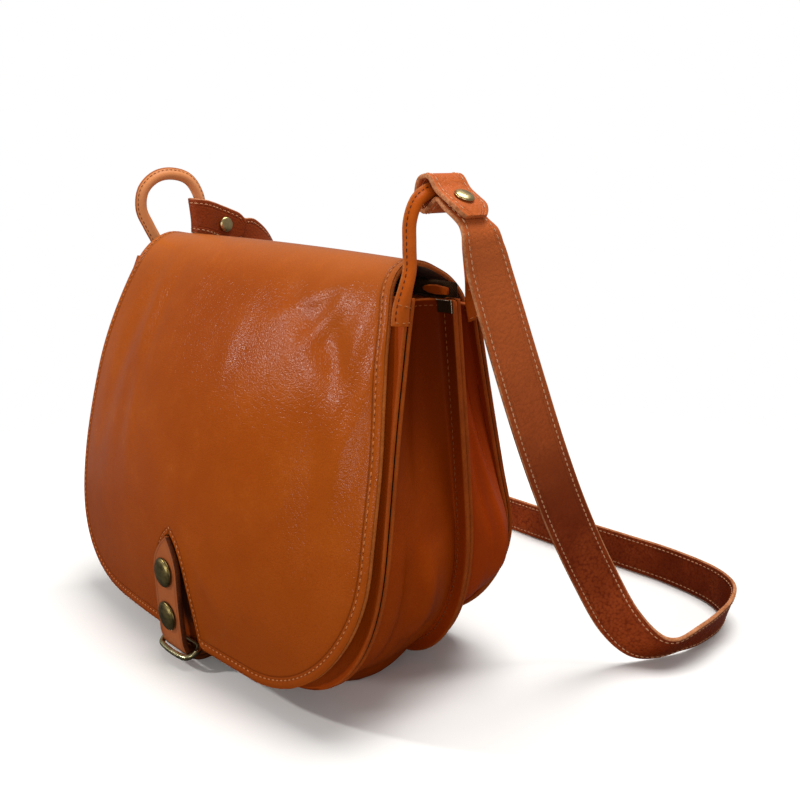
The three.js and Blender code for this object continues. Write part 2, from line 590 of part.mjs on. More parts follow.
function makeBuckle() {
  const { halfWidth, halfDepth, bar, thick, bevel, corner } = BUCKLE;
  const { y, z, tilt } = BUCKLE_SEAT;
  const frame = roundedFrame(new THREE.Shape(), halfWidth - bevel, halfDepth - bevel, corner);
  const eye = roundedFrame(new THREE.Path(), halfWidth - bar + bevel, halfDepth - bar + bevel, corner * 0.7);
  frame.holes.push(eye);
  const geometry = new THREE.ExtrudeGeometry(frame, {
    depth: thick, bevelThickness: bevel, bevelSize: bevel, bevelSegments: 1, curveSegments: 3,
  });
  geometry.translate(0, 0, -thick / 2).rotateX(THREE.MathUtils.degToRad(tilt));
  return geometry.translate(0, y, z);
}

// Stations along a table's centre line, a few to each row
function stationsAlong(rows, perRow) {
  const centres = rows.map(({ x, y, z }) => new THREE.Vector3(x, y, z));
  const line = new THREE.CatmullRomCurve3(centres, false, 'centripetal');
  const steps = Math.round((rows.length - 1) * perRow);
  return Array.from({ length: steps + 1 }, (_, k) => {
    const at = k / steps;
    const row = at * (rows.length - 1);
    return { at, row, centre: line.getPoint(at), run: line.getTangent(at) };
  });
}

function makeLoop(side) {
  const rows = LOOP_ROWS[side].map((row, k) => ({ ...row, row: k }));
  const half = smooth(rows, 'row', 'half');
  const thick = smooth(rows, 'row', 'thick');
  const sides = 8;
  const stations = stationsAlong(rows, 2).map(({ row, centre, run }) => {
    const across = new THREE.Vector3(1, 0, 0);
    const deep = across.addScaledVector(run, -across.dot(run)).normalize();
    const wide = new THREE.Vector3().crossVectors(deep, run).normalize();
    const rolled = THREE.MathUtils.smoothstep(thick(row), 1.2, LOOP.tube);
    const section = Array.from({ length: sides }, (_, m) => {
      const angle = (m / sides) * 2 * Math.PI;
      const flange = m === 0 ? rolled * (LOOP.flange - LOOP.tube) : 0;
      return [Math.cos(angle) * half(row) + flange, Math.sin(angle) * thick(row)];
    });
    return { centre, wide, deep, section };
  });
  return sweep(stations);
}

const strapWidth = ({ turn, rise }) => {
  const heading = THREE.MathUtils.degToRad(turn);
  const climb = THREE.MathUtils.degToRad(rise);
  return new THREE.Vector3(
    Math.cos(climb) * Math.cos(heading), Math.cos(climb) * Math.sin(heading), Math.sin(climb),
  );
};

function makeStrap() {
  const all = stationsAlong(STRAP_ROWS, 1.5);
  const tipRounding = STRAP.half;
  const stations = all.map(({ row, centre, run }) => {
    const k = Math.min(Math.floor(row), STRAP_ROWS.length - 2);
    const wide = strapWidth(STRAP_ROWS[k]).lerp(strapWidth(STRAP_ROWS[k + 1]), row - k);
    wide.addScaledVector(run, -wide.dot(run)).normalize();
    const deep = new THREE.Vector3().crossVectors(run, wide);
    const fromTip = Math.min(centre.distanceTo(all[0].centre), centre.distanceTo(all[all.length - 1].centre));
    const taper = Math.min(1, 0.2 + fromTip / tipRounding);
    const fromEnd = Math.min(row, STRAP_ROWS.length - 1 - row) - STRAP.foldRows;
    const free = THREE.MathUtils.smoothstep(fromEnd, 0, STRAP.easeRows);
    const full = THREE.MathUtils.lerp(STRAP.foldHalf, STRAP.half, free);
    const half = full * Math.sqrt(1 - (1 - taper) ** 2);
    const lowest = centre.z - Math.abs(wide.z) * half - Math.abs(deep.z) * STRAP.wall / 2;
    centre.z += Math.max(0, GAP - lowest);
    return { centre, wide, deep, section: stripSection(half, STRAP.wall) };
  });
  const holes = Object.keys(RIVET_ROWS).map((name) => {
    const hole = new THREE.CylinderGeometry(RIVET.postRadius + GAP, RIVET.postRadius + GAP, 14, 12);
    return setOnRivet(hole, name);
  });
  return cut(sweep(stations), ...holes);
}

function rivetLine(name) {
  const [outer, inner] = ['outer', 'inner'].map((layer) => {
    const { x, y, z } = STRAP_ROWS[RIVET_ROWS[name][layer]];
    return new THREE.Vector3(x, y, z);
  });
  const centre = outer.clone().lerp(inner, 0.5);
  return { centre, axis: outer.clone().sub(inner).normalize(), apart: outer.distanceTo(inner) };
}

function setOnRivet(geometry, name) {
  const { centre, axis } = rivetLine(name);
  const turn = new THREE.Quaternion().setFromUnitVectors(new THREE.Vector3(0, 1, 0), axis);
  return geometry.applyQuaternion(turn).translate(centre.x, centre.y, centre.z);
}

function makeRivet(name) {
  const { capRadius, capHeight, postRadius } = RIVET;
  const seat = rivetLine(name).apart / 2 + STRAP.wall / 2 + GAP * 1.5;
  const half = [
    [0, seat + capHeight], [capRadius * 0.6, seat + capHeight * 0.9],
    [capRadius * 0.94, seat + capHeight * 0.45],
    [capRadius, seat + 0.1], [capRadius * 0.95, seat], [postRadius, seat],
  ];
  const mirrored = half.map(([r, y]) => [r, -y]).reverse();
  const profile = [...half, ...mirrored].reverse().map(([r, y]) => new THREE.Vector2(r, y));
  return setOnRivet(new THREE.LatheGeometry(profile, 12), name);
}

function makeZipTape() {
  const { leftX, rightX, width, height, corner } = ZIP;
  const section = roundedFrame(new THREE.Shape(), width / 2, height / 2, corner);
  const length = rightX - leftX;
  const tape = new THREE.ExtrudeGeometry(section, { depth: length, bevelEnabled: false, curveSegments: 3 });
  tape.rotateX(Math.PI / 2).rotateZ(Math.PI / 2);
  const { highZ } = OUTLINES.middle;
  return tape.translate(leftX, seamY.middle(highZ), highZ + GAP + height / 2);
}

function makeZipPull() {
  const { highZ } = OUTLINES.middle;
  const front = seamY.middle(highZ) - ZIP.width / 2;
  const line = { rootX: 114.0, tipX: 99.0, z: highZ + 4.6, thick: 1.6 };
  const pull = new THREE.Shape();
  pull.moveTo(line.rootX, -2.2);
  pull.lineTo(line.rootX, 2.2);
  pull.lineTo(line.tipX + 6, 2.6);
  pull.quadraticCurveTo(line.tipX + 1, 2.2, line.tipX, 0);
  pull.quadraticCurveTo(line.tipX + 1, -2.2, line.tipX + 6, -2.6);
  pull.closePath();
  const tab = new THREE.ExtrudeGeometry(pull, { depth: line.thick, bevelEnabled: false, curveSegments: 4 });
  return tab.rotateX(Math.PI / 2).translate(0, front - GAP, line.z);
}

place('flap', makeFlap(), COLOURS.leather);
place('front_panel', makePanel(OUTLINES.front, frontPanelDepth, 14, 15, WALL), COLOURS.leather);
place('front_gusset', makeGusset(
  { seam: 'front', offset: PANEL_OFFSET }, { seam: 'middle', offset: -DIVIDER_OFFSET }, 'front', 44, 9,
), COLOURS.leather);
place('divider', makePanel(OUTLINES.middle, (x, z) => seamY.middle(z), 4, 14, DIVIDER_WALL), COLOURS.leather);
place('rear_gusset', makeGusset(
  { seam: 'middle', offset: DIVIDER_OFFSET }, { seam: 'back', offset: -PANEL_OFFSET - GAP / 2 },
  'rear', 40, 8,
), COLOURS.leather);
place('back_panel', makePanel(OUTLINES.back, backPanelDepth, 10, 14, WALL), COLOURS.leather);
place('closure_tab', makeTab(), COLOURS.leather);
for (const [name, z] of Object.entries(STUD_Z)) place(name, makeStud(z), COLOURS.brass);
place('buckle', makeBuckle(), COLOURS.brass);
place('loop_left', makeLoop('left'), COLOURS.leather);
place('loop_right', makeLoop('right'), COLOURS.leather);
place('shoulder_strap', makeStrap(), COLOURS.darkLeather);
for (const name of Object.keys(RIVET_ROWS)) place(name, makeRivet(name), COLOURS.paleBrass);
place('zip_tape', makeZipTape(), COLOURS.tape);
place('zip_pull', makeZipPull(), COLOURS.leather);

export default bag;
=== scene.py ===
import math

import bpy
import numpy as np
from mathutils import Matrix


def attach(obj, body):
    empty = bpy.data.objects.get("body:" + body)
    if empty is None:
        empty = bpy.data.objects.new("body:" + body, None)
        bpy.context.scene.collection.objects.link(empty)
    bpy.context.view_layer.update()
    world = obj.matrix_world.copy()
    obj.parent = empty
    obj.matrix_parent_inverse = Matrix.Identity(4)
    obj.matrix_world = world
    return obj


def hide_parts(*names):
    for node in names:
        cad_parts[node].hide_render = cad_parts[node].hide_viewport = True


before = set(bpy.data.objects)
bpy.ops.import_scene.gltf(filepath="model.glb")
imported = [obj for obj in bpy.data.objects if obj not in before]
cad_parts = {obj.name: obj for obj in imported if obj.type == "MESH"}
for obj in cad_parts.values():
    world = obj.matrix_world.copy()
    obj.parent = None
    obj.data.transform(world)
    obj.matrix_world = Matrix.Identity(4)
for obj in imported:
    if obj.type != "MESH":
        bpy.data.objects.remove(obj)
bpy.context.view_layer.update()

MM = 0.001


def rows(names, *values):
    """A table with named columns."""
    return {name: np.array(column, float) for name, column in zip(names.split(), zip(*values))}


# Leather and sewing, in millimetres
WALL = 2.0
FLAP_WALL = 2.2
DIVIDER_WALL = 1.8
GAP = 0.4
LIP = 5.0
FOLD = 9.5
SIDE_LEAN = 1.6
PANEL_OFFSET = (WALL + GAP) / 2
DIVIDER_OFFSET = (DIVIDER_WALL + WALL) / 2 + GAP

# Flap and closure
FLAP_HALF = 128.4
NOTCH = {"half": 15.0, "flare": 4.0, "flare_z": 19.0, "bulge_z": 58.0, "apex_z": 68.0}
TAB = {"half": 11.4, "wall": 2.6, "shoulder_z": 50.0}
STUD = {"cap_radius": 7.5, "cap_height": 2.4, "post_radius": 2.2, "post_length": 6.4}
STUD_Z = {"stud_upper": 49.0, "stud_lower": 26.0}
BUCKLE = {"half_width": 14.8, "half_depth": 5.6, "bar": 2.6, "thick": 2.8, "corner": 4.8, "bow": 1.2}
BUCKLE_SEAT = {"y": -66.2, "z": 8.6, "tilt": 22}

# Strap, loops, rivets and zip
STRAP = {"half": 11.0, "fold_half": 10.0, "fold_rows": 12, "ease_rows": 4, "wall": 2.0}
LOOP = {"tube": 2.7, "flange": 4.2}
RIVET = {"cap_radius": 4.5, "cap_height": 1.5, "post": 1.7}
ZIP_END = {"columns": slice(47, 55), "reach": 5.6, "wall": 1.0, "lift": 0.75, "thread_lift": 1.3}
ZIP = {"left_x": -110.0, "right_x": 111.5, "width": 5.2, "height": 6.6}
PULL = {"wall": 1.6, "above_seam": 3.6}
PULL_SHAPE = rows("x half", (97, 0.6), (97.8, 1.1), (100, 1.7), (105, 2.1), (112, 1.6))

# Outlines of the sewn edges, seen from the front
OUTLINES = {
    "front": dict(flat=61, low_z=9, widest=129.6, widest_z=83, top=115.5, high_z=190, round=2.2, lip=LIP),
    "middle": dict(flat=60, low_z=0.4, widest=116.5, widest_z=85, top=115, high_z=187, round=2.0, lip=FOLD),
    "back": dict(flat=44, low_z=8, widest=103.4, widest_z=80, top=106.5, high_z=182, round=2.0, lip=LIP),
    "flap": dict(flat=59.5, low_z=12.2, widest=FLAP_HALF, widest_z=78, round=1.9, left_round=2.5),
}

# Depth of the three seams at each height
SEAMS = rows(
    "z front middle back",
    (0, -46.8, 28.0, 56.0), (34, -46.2, 25.0, 60.4), (68, -43.5, 21.8, 61.2), (102, -38.8, 18.8, 52.3),
    (136, -32.0, 15.7, 42.9), (170, -22.6, 12.6, 33.6), (190, -16.0, 10.7, 28.2),
)

# Sections of the flap from the hem, up the front, over the ridge and down to the back seam
FLAP_ROWS = rows(
    "row edge_y edge_z mid_y mid_z half",
    (0, -55.6, 12.2, -63.5, 12.2, 128.6), (1, -53.5, 50.0, -68.7, 50.0, 128.6),
    (2, -48.7, 85.0, -66.8, 85.0, 128.4), (3, -40.4, 123.0, -57.8, 123.0, 125.4),
    (4, -33.2, 149.0, -48.1, 149.0, 120.4), (5, -22.8, 178.0, -32.8, 178.0, 112.2),
    (6, -15.6, 194.0, -21.2, 194.8, 105.8), (7, -7.0, 201.0, -7.5, 203.2, 102.4),
    (8, 3.6, 200.6, 4.2, 202.4, 100.6), (9, 14.0, 197.2, 14.6, 198.8, 97.8),
    (10, 24.5, 192.4, 25.0, 193.4, 95.6), (11, 32.6, 185.5, 32.6, 185.5, 95.0),
    (12, 35.4, 179.0, 35.4, 179.0, 95.0), (13, 37.6, 170.0, 37.6, 170.0, 94.0),
)

# Soft ripples of the flap: centre, turn from upright, reach along and across, and depth inward
FLAP_FOLDS = rows(
    "x z turn long wide deep",
    (-82, 150, 14, 52, 9, 1.6), (-58, 152, 10, 48, 8, 1.1), (84, 168, -38, 40, 8, 1.8),
    (64, 176, -58, 34, 7, 1.4), (96, 96, -8, 46, 10, 1.5),
)

# Lighter ripples between them, which stand out from the flap
FLAP_RIPPLES = rows(
    "x z turn long wide deep",
    (98, 150, 0, 42, 5.5, -1.2), (107, 132, 8, 32, 5.0, -1.5), (71, 190, 62, 28, 5.0, -1.2),
    (76, 178, 34, 18, 5.0, -1.3), (-62, 145, -10, 50, 6.0, -0.9), (-28, 186, 3, 20, 7.0, -0.7),
    (20, 158, 2, 24, 7.0, -0.7), (37, 46, -41, 26, 6.0, -0.9),
)

# How far the gussets stand out from the line between their seams, at each height
GUSSET_SWELL = rows(
    "z front rear",
    (0, 20.0, 0.0), (12, 14.2, -0.8), (16, 6.0, -0.8), (22, 5.0, -0.4), (32, 5.5, 2.0), (45, 7.5, 9.2),
    (60, 7.5, 13.8), (76, 5.0, 13.4), (95, 1.0, 8.4), (130, -4.0, 0.4), (165, -6.0, -4.2),
    (190, -4.5, -4.5),
)

# Creases of the gussets: height, place across, reaches and depth inward
GUSSET_FOLDS = {
    "front": rows(
        "z across tall wide deep",
        (58, 0.34, 26, 0.1, 5.0), (34, 0.66, 12, 0.16, 3.0), (120, 0.5, 40, 0.12, 2.0),
        (52, 0.27, 30, 0.05, 2.2), (62, 0.52, 16, 0.09, -2.6), (84, 0.62, 5, 0.14, 0.8),
        (40, 0.46, 14, 0.06, 1.4),
    ),
    "rear": rows(
        "z across tall wide deep",
        (88, 0.36, 34, 0.12, 4.5), (118, 0.7, 36, 0.12, 3.0), (46, 0.55, 12, 0.2, 3.5),
        (70, 0.2, 22, 0.06, 1.6), (64, 0.5, 12, 0.1, -1.4),
    ),
}

# Middle line of the closure tab, from its point down through the buckle and under the hem
TAB_LINE = rows(
    "y z",
    (-70.7, 66.7), (-71.6, 58.0), (-71.8, 50.0), (-71.2, 34.0), (-70.2, 20.0), (-69.2, 12.5),
    (-66.6, 7.0), (-61.6, 4.2), (-55.0, 4.0), (-47.5, 5.2),
)

# Loops from the front end over the top to the rear end: centre line, half width and half thickness
LOOP_REAR = ((109.9, 23.6, 195, 3.6, 2.2), (109.8, 26.2, 186, 6.2, 1.2), (109.8, 28.6, 177, 6.4, 1.1))


def loop_rows(hand, front, tube):
    """Rows of a loop: its flattened front end, its round tube and its flattened rear end."""
    middle = [(*place, LOOP["tube"], LOOP["tube"]) for place in tube]
    rear = [(hand * x, *rest) for x, *rest in LOOP_REAR]
    return rows("x y z half thick", *front, *middle, *rear)


LOOP_ROWS = {
    "loop_right": loop_rows(
        1,
        [(119.6, -26.2, 180, 4.3, 2.0), (119.5, -25.4, 186.5, 3.9, 2.3), (118.9, -22.6, 194.5, 2.9, 2.7)],
        [
            (117.4, -19.2, 202), (115.2, -17.4, 212), (113.2, -15.4, 221), (111.4, -10.2, 228.4),
            (110.5, -3.0, 231.8), (110.5, 6.0, 232.8), (110.4, 15.2, 230.4), (110.2, 19.6, 221.6),
            (110.1, 21.2, 207),
        ],
    ),
    "loop_left": loop_rows(
        -1,
        [(-108.2, -5.5, 176, 5.4, 1.1), (-108.2, -5.5, 182, 5.2, 1.2), (-109.6, -5.8, 189.5, 3.4, 2.0)],
        [
            (-111.4, -7.4, 198), (-112.2, -11.6, 207), (-112.4, -15.4, 216), (-111.2, -14.4, 226),
            (-110.5, -7.6, 232.6), (-110.5, 2.0, 234.6), (-110.4, 13.0, 231.6), (-110.2, 19.0, 223),
            (-110.1, 21.2, 207),
        ],
    ),
}

# Shoulder strap from its right tip over the right loop, round behind the bag to its left tip: centre line,
# and the way its width points: turn in plan from +X and rise above level
STRAP_ROWS = rows(
    "x y z turn rise",
    (130.4, 5.0, 222.8, 90, 0), (127.0, 5.0, 226.9, 90, 0), (122.6, 5.0, 229.6, 90, 0),
    (116.8, 5.0, 233.2, 90, 0), (111.6, 5.0, 238.6, 90, 0), (106.4, 5.0, 237.6, 90, 0),
    (104.4, 5.0, 232.0, 90, 0), (105.4, 5.0, 226.8, 90, 0), (109.3, 5.0, 224.4, 90, 0),
    (113.2, 5.0, 227.2, 90, 0), (116.6, 5.0, 229.6, 90, 0), (121.0, 5.0, 226.7, 90, 0),
    (126.2, 5.2, 222.9, 90, 0), (130.6, 6.5, 216.6, 88, 0), (131.3, 9.0, 209.0, 84, 0),
    (131.4, 12.0, 201.0, 80, 0), (133.1, 19.9, 179.0, 75, 5), (135.3, 29.0, 153.6, 70, 10),
    (137.1, 43.3, 119.0, 65, 16), (138.4, 60.0, 85.0, 60, 21), (140.9, 79.2, 51.0, 57, 25),
    (148.7, 91.9, 25.0, 41, 38), (156.6, 102.5, 11.4, 22, 40), (162.4, 112.5, 8.2, -14, 39),
    (166.4, 129.0, 10.4, -12, 61), (165.2, 148.3, 10.8, -6, 66), (161.6, 166.6, 11.1, 8, 71),
    (153.6, 182.0, 11.3, 30, 77), (138.0, 192.5, 11.4, 55, 83), (106.0, 198.5, 11.3, 90, 89),
    (72.0, 198.0, 11.3, 90, 89), (34.0, 196.5, 11.3, 90, 89), (-6.0, 196.3, 11.3, 90, 89),
    (-46.0, 196.3, 11.3, 90, 89), (-82.0, 196.0, 11.3, 90, 89), (-109.0, 192.5, 11.3, 110, 84),
    (-127.0, 184.0, 10.8, 140, 66), (-139.0, 171.0, 8.9, 160, 45), (-145.0, 156.5, 6.0, 170, 25),
    (-146.0, 142.0, 4.5, 172, 14), (-142.5, 129.0, 7.5, 170, 12), (-136.0, 120.5, 23.0, 168, 10),
    (-129.0, 114.5, 52.0, 168, 9),
    (-121.5, 107.5, 93.0, 168, 8), (-118.0, 98.0, 136.0, 168, 10), (-115.5, 84.5, 168.0, 162, 18),
    (-113.0, 70.0, 188.0, 140, 42), (-111.4, 57.0, 197.0, 105, 65), (-110.9, 49.0, 200.3, 90, 69),
    (-110.9, 42.5, 202.8, 90, 69), (-110.9, 35.7, 205.5, 90, 70), (-111.2, 30.5, 207.4, 90, 74),
    (-113.6, 25.5, 209.0, 90, 82), (-114.4, 20.5, 210.4, 90, 91), (-113.0, 16.7, 211.2, 90, 96),
    (-110.0, 15.4, 211.5, 90, 97), (-107.0, 16.7, 211.2, 90, 96), (-105.6, 20.5, 210.4, 90, 91),
    (-106.2, 25.5, 209.0, 90, 82), (-108.1, 30.5, 207.4, 90, 74), (-108.4, 35.7, 205.5, 90, 70),
    (-108.4, 42.5, 202.8, 90, 69), (-108.2, 48.5, 200.5, 90, 69),
)
LAST_STRAP_ROW = len(STRAP_ROWS["x"]) - 1

# Strap rows that each rivet joins: the outer layer and the inner one
RIVET_ROWS = {"rivet_right": (2, 11), "rivet_left": (LAST_STRAP_ROW - 2, LAST_STRAP_ROW - 12)}

# Sewing: distance of the stitches from the edge, pitch, length and radius of one stitch
SEWING = {
    "flap": dict(inset=4.0, pitch=3.1, length=2.0, radius=0.36),
    "notch": dict(inset=2.4, pitch=2.6, length=1.7, radius=0.32),
    "hole": dict(inset=4.0, pitch=3.1, length=3.0, radius=0.34),
    "notch_hole": dict(inset=2.4, pitch=2.6, length=2.5, radius=0.3),
    "lip": dict(inset=6.0, pitch=2.9, length=2.0, radius=0.34),
    "top": dict(inset=3.0, pitch=2.9, length=2.0, radius=0.32),
    "strap": dict(inset=2.6, pitch=3.0, length=2.2, radius=0.34),
    "loop": dict(inset=1.0, pitch=2.6, length=1.8, radius=0.28),
    "zip": dict(inset=0.4, pitch=1.2, length=1.3, radius=0.16),
}

SEED = 7

# Stitch holes that the flap's stitches go into, drawn dark: painted shade in the holes
HOLES = {"flap": "hole", "notch": "notch_hole"}

# Rolled border outside the flap's stitches, and the crease inside them
BORDER = {"high": 0.45, "middle": 2.0, "wide": 1.6, "crease": 0.3, "crease_in": 1.4, "crease_wide": 0.6}

# Flap's mesh: rows round a corner, distance of the rows above it, columns and their crowding at both edges
FLAP_MESH = {"corner_rows": 64, "step": 2.2, "columns": 76, "crowding": 0.72}
THREAD_LIFT, HOLE_DEPTH = 0.06, 0.04
PANEL_CROWDING = 0.35
GUSSET_ARCH = 0.8
FAR_FROM_EDGE = 9.0

# Caps: shares of the radius and of the height, from the top outward
STUD_PROFILE = (
    (0, 1), (0.2, 0.99), (0.4, 0.95), (0.6, 0.86), (0.74, 0.75), (0.84, 0.62), (0.87, 0.54), (0.9, 0.5),
    (0.96, 0.38), (1, 0.16),
)
RIVET_PROFILE = (0, 1), (0.3, 0.97), (0.6, 0.88), (0.82, 0.66), (0.95, 0.4)


# Curves

def smooth(table, key, name):
    """Smooth curve through one column of a table."""
    at, level = table[key], table[name]
    slope = np.gradient(level)
    slope[1:-1] = (level[2:] - level[:-2]) / (at[2:] - at[:-2])
    slope[0] = (level[1] - level[0]) / (at[1] - at[0])
    slope[-1] = (level[-1] - level[-2]) / (at[-1] - at[-2])

    def curve(value):
        value = np.clip(value, at[0], at[-1])
        i = np.clip(np.searchsorted(at, value) - 1, 0, len(at) - 2)
        span = at[i + 1] - at[i]
        t = (value - at[i]) / span
        ease = 3 * t**2 - 2 * t**3
        bend = (t**3 - 2 * t**2 + t) * slope[i] + (t**3 - t**2) * slope[i + 1]
        return (1 - ease) * level[i] + ease * level[i + 1] + bend * span

    return curve


def smoothstep(value, low, high):
    t = np.clip((value - low) / (high - low), 0, 1)
    return t * t * (3 - 2 * t)


def unit(vectors):
    return vectors / np.maximum(np.linalg.norm(vectors, axis=-1, keepdims=True), 1e-12)


def line_of(x, y, z):
    """Line of points from columns, some of them single values."""
    return np.stack(np.broadcast_arrays(x, y, z), axis=1)


def lengths(points):
    """Length along a line of points, from its start to each of them."""
    steps = np.linalg.norm(np.diff(points, axis=0), axis=1)
    return np.concatenate([[0], np.cumsum(steps)])


def along(points, shares):
    """Points at shares of a line's length."""
    run = lengths(points)
    return np.stack([np.interp(np.asarray(shares) * run[-1], run, column) for column in points.T], axis=-1)


def rope(points, params):
    """Centripetal curve through points, and its direction, at row numbers."""
    ends = np.concatenate([[2 * points[0] - points[1]], points, [2 * points[-1] - points[-2]]])
    k = np.clip(np.floor(params).astype(int), 0, len(points) - 2)
    t = (params - k)[:, None]
    p0, p1, p2, p3 = (ends[k + i] for i in range(4))
    d0, d1, d2 = (np.sqrt(np.linalg.norm(b - a, axis=1))[:, None] for a, b in ((p0, p1), (p1, p2), (p2, p3)))
    t1 = ((p1 - p0) / d0 - (p2 - p0) / (d0 + d1) + (p2 - p1) / d1) * d1
    t2 = ((p2 - p1) / d1 - (p3 - p1) / (d1 + d2) + (p3 - p2) / d2) * d1
    c2 = -3 * p1 + 3 * p2 - 2 * t1 - t2
    c3 = 2 * p1 - 2 * p2 + t1 + t2
    return p1 + t1 * t + c2 * t**2 + c3 * t**3, unit(t1 + 2 * c2 * t + 3 * c3 * t**2)


def bend(start, control, end, count):
    """Quadratic curve between two flat points."""
    t = np.linspace(0, 1, count)[:, None]
    return (1 - t) ** 2 * np.array(start) + 2 * t * (1 - t) * np.array(control) + t**2 * np.array(end)


def soften(values, spread):
    """Values along a line, blurred over a number of stations."""
    reach = int(3 * spread)
    bell = np.exp(-0.5 * (np.arange(-reach, reach + 1) / spread) ** 2)
    padded = np.pad(values, [(reach, reach)] + [(0, 0)] * (values.ndim - 1), mode="edge")
    return sum(share * padded[k:k + len(values)] for k, share in enumerate(bell / bell.sum()))


def distance_to(line, spots):
    """Distance of flat spots from a line of flat points."""
    best = np.full(len(spots), np.inf)
    for a, b in zip(line[:-1], line[1:]):
        run = b - a
        share = np.clip(((spots - a) @ run) / max(run @ run, 1e-12), 0, 1)
        best = np.minimum(best, np.linalg.norm(spots - a - share[:, None] * run, axis=1))
    return best


def side_points(outline):
    """Right side of an outline, from the end of its flat bottom to its top."""
    o = outline
    angle = np.linspace(0, math.pi / 2, 97)
    corner = np.stack([
        o["flat"] + (o["widest"] - o["flat"]) * np.sin(angle) ** (2 / o["round"]),
        o["widest_z"] - (o["widest_z"] - o["low_z"]) * np.maximum(np.cos(angle), 0) ** (2 / o["round"]),
    ], axis=1)
    t = np.linspace(0, 1, 65)[1:]
    side = np.stack([
        o["widest"] + (o["top"] - o["widest"]) * t**SIDE_LEAN,
        o["widest_z"] + (o["high_z"] - o["widest_z"]) * t,
    ], axis=1)
    return np.concatenate([corner, side])


def half_points(outline):
    """Right half of an outline from the middle of its bottom to its top."""
    flat = np.linspace(0, outline["flat"], 33)[:-1]
    return np.concatenate([np.stack([flat, np.full(32, outline["low_z"])], axis=1), side_points(outline)])


seam_y = {seam: smooth(SEAMS, "z", seam) for seam in ("front", "middle", "back")}


# Meshes

def quads_between(index):
    """Quads between neighbours in a grid of point numbers."""
    corners = index[:-1, :-1], index[:-1, 1:], index[1:, 1:], index[1:, :-1]
    return np.stack(corners, axis=-1).reshape(-1, 4)


def weave(count, across, flip=False):
    """Quads of a grid of count by across points."""
    quads = quads_between(np.arange(count * across).reshape(count, across))
    return quads[:, ::-1] if flip else quads


def stand(name, data, *pose):
    """Object in the scene. A pose is its right, up and back directions and its place."""
    item = bpy.data.objects.new(name, data)
    if pose:
        item.matrix_world = Matrix([*np.stack(pose, axis=1).tolist(), [0, 0, 0, 1]])
    bpy.context.scene.collection.objects.link(item)
    return item


def make_object(name, points, faces, finishes, kinds=None, **attributes):
    mesh = bpy.data.meshes.new(name)
    mesh.from_pydata((np.asarray(points) * MM).tolist(), [], [list(map(int, face)) for face in faces])
    for finish in finishes:
        mesh.materials.append(finish)
    if kinds is not None:
        mesh.polygons.foreach_set("material_index", np.asarray(kinds, dtype=np.int32))
    mesh.polygons.foreach_set("use_smooth", np.ones(len(mesh.polygons), dtype=bool))
    for key, values in attributes.items():
        mesh.attributes.new(key, "FLOAT", "POINT").data.foreach_set("value", np.asarray(values, np.float32))
    mesh.validate()
    mesh.update()
    return stand(name, mesh)


def dress(piece, node):
    """Hands a finished piece over in place of its solid."""
    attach(piece, "root")
    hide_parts(node)
    return piece


def surface_normals(points, quads):
    across = points[quads[:, 2]] - points[quads[:, 0]]
    other = points[quads[:, 3]] - points[quads[:, 1]]
    facing = np.cross(across, other)
    total = np.zeros_like(points)
    for corner in range(4):
        np.add.at(total, quads[:, corner], facing)
    return unit(total)


def leather_sheet(name, points, quads, wall, finishes, edge, raised=0.0):
    """Sheet on both sides of a surface, with rounded cut edges. Finishes: outside, inside, cut edge."""
    normal = surface_normals(points, quads)
    raised = np.broadcast_to(raised, len(points))[:, None]
    sides = np.concatenate([quads[:, [i, (i + 1) % 4]] for i in range(4)])
    codes = sides[:, 0].astype(np.int64) * len(points) + sides[:, 1]
    border = sides[~np.isin(codes, sides[:, 1].astype(np.int64) * len(points) + sides[:, 0])]
    outward = np.zeros_like(points)
    facing = unit(np.cross(points[border[:, 1]] - points[border[:, 0]], normal[border[:, 0]]))
    for end in range(2):
        np.add.at(outward, border[:, end], facing)
    outward = unit(outward)
    rim = np.unique(border)
    on_rim = np.zeros(len(points), bool)
    on_rim[rim] = True
    soft = 0.38 * wall
    inset = np.where(on_rim, soft, 0)[:, None] * outward
    turns = (45, 0, -45)
    rings = [
        points[rim] - outward[rim] * soft * (1 - math.cos(math.radians(turn)))
        + normal[rim] * wall / 2 * math.sin(math.radians(turn)) for turn in turns
    ]
    size = len(points)
    front, back = points + normal * (wall / 2 + raised) - inset, points - normal * wall / 2 - inset
    places = np.concatenate([front, back, *rings])
    level = np.zeros((len(turns) + 2, size), int)
    level[0], level[-1] = np.arange(size), size + np.arange(size)
    for k in range(len(turns)):
        level[k + 1, rim] = 2 * size + k * len(rim) + np.arange(len(rim))
    a, b = border.T
    bands = [np.stack([u[b], u[a], v[a], v[b]], axis=1) for u, v in zip(level[:-1], level[1:])]
    faces = np.concatenate([quads, quads[:, ::-1] + size, *bands])
    kinds = np.repeat([0, 1, 2], [len(quads), len(quads), len(bands) * len(border)])
    edges = np.concatenate([edge, edge, np.zeros(len(turns) * len(rim))])
    return make_object(name, places, faces, finishes, kinds, edge=edges)


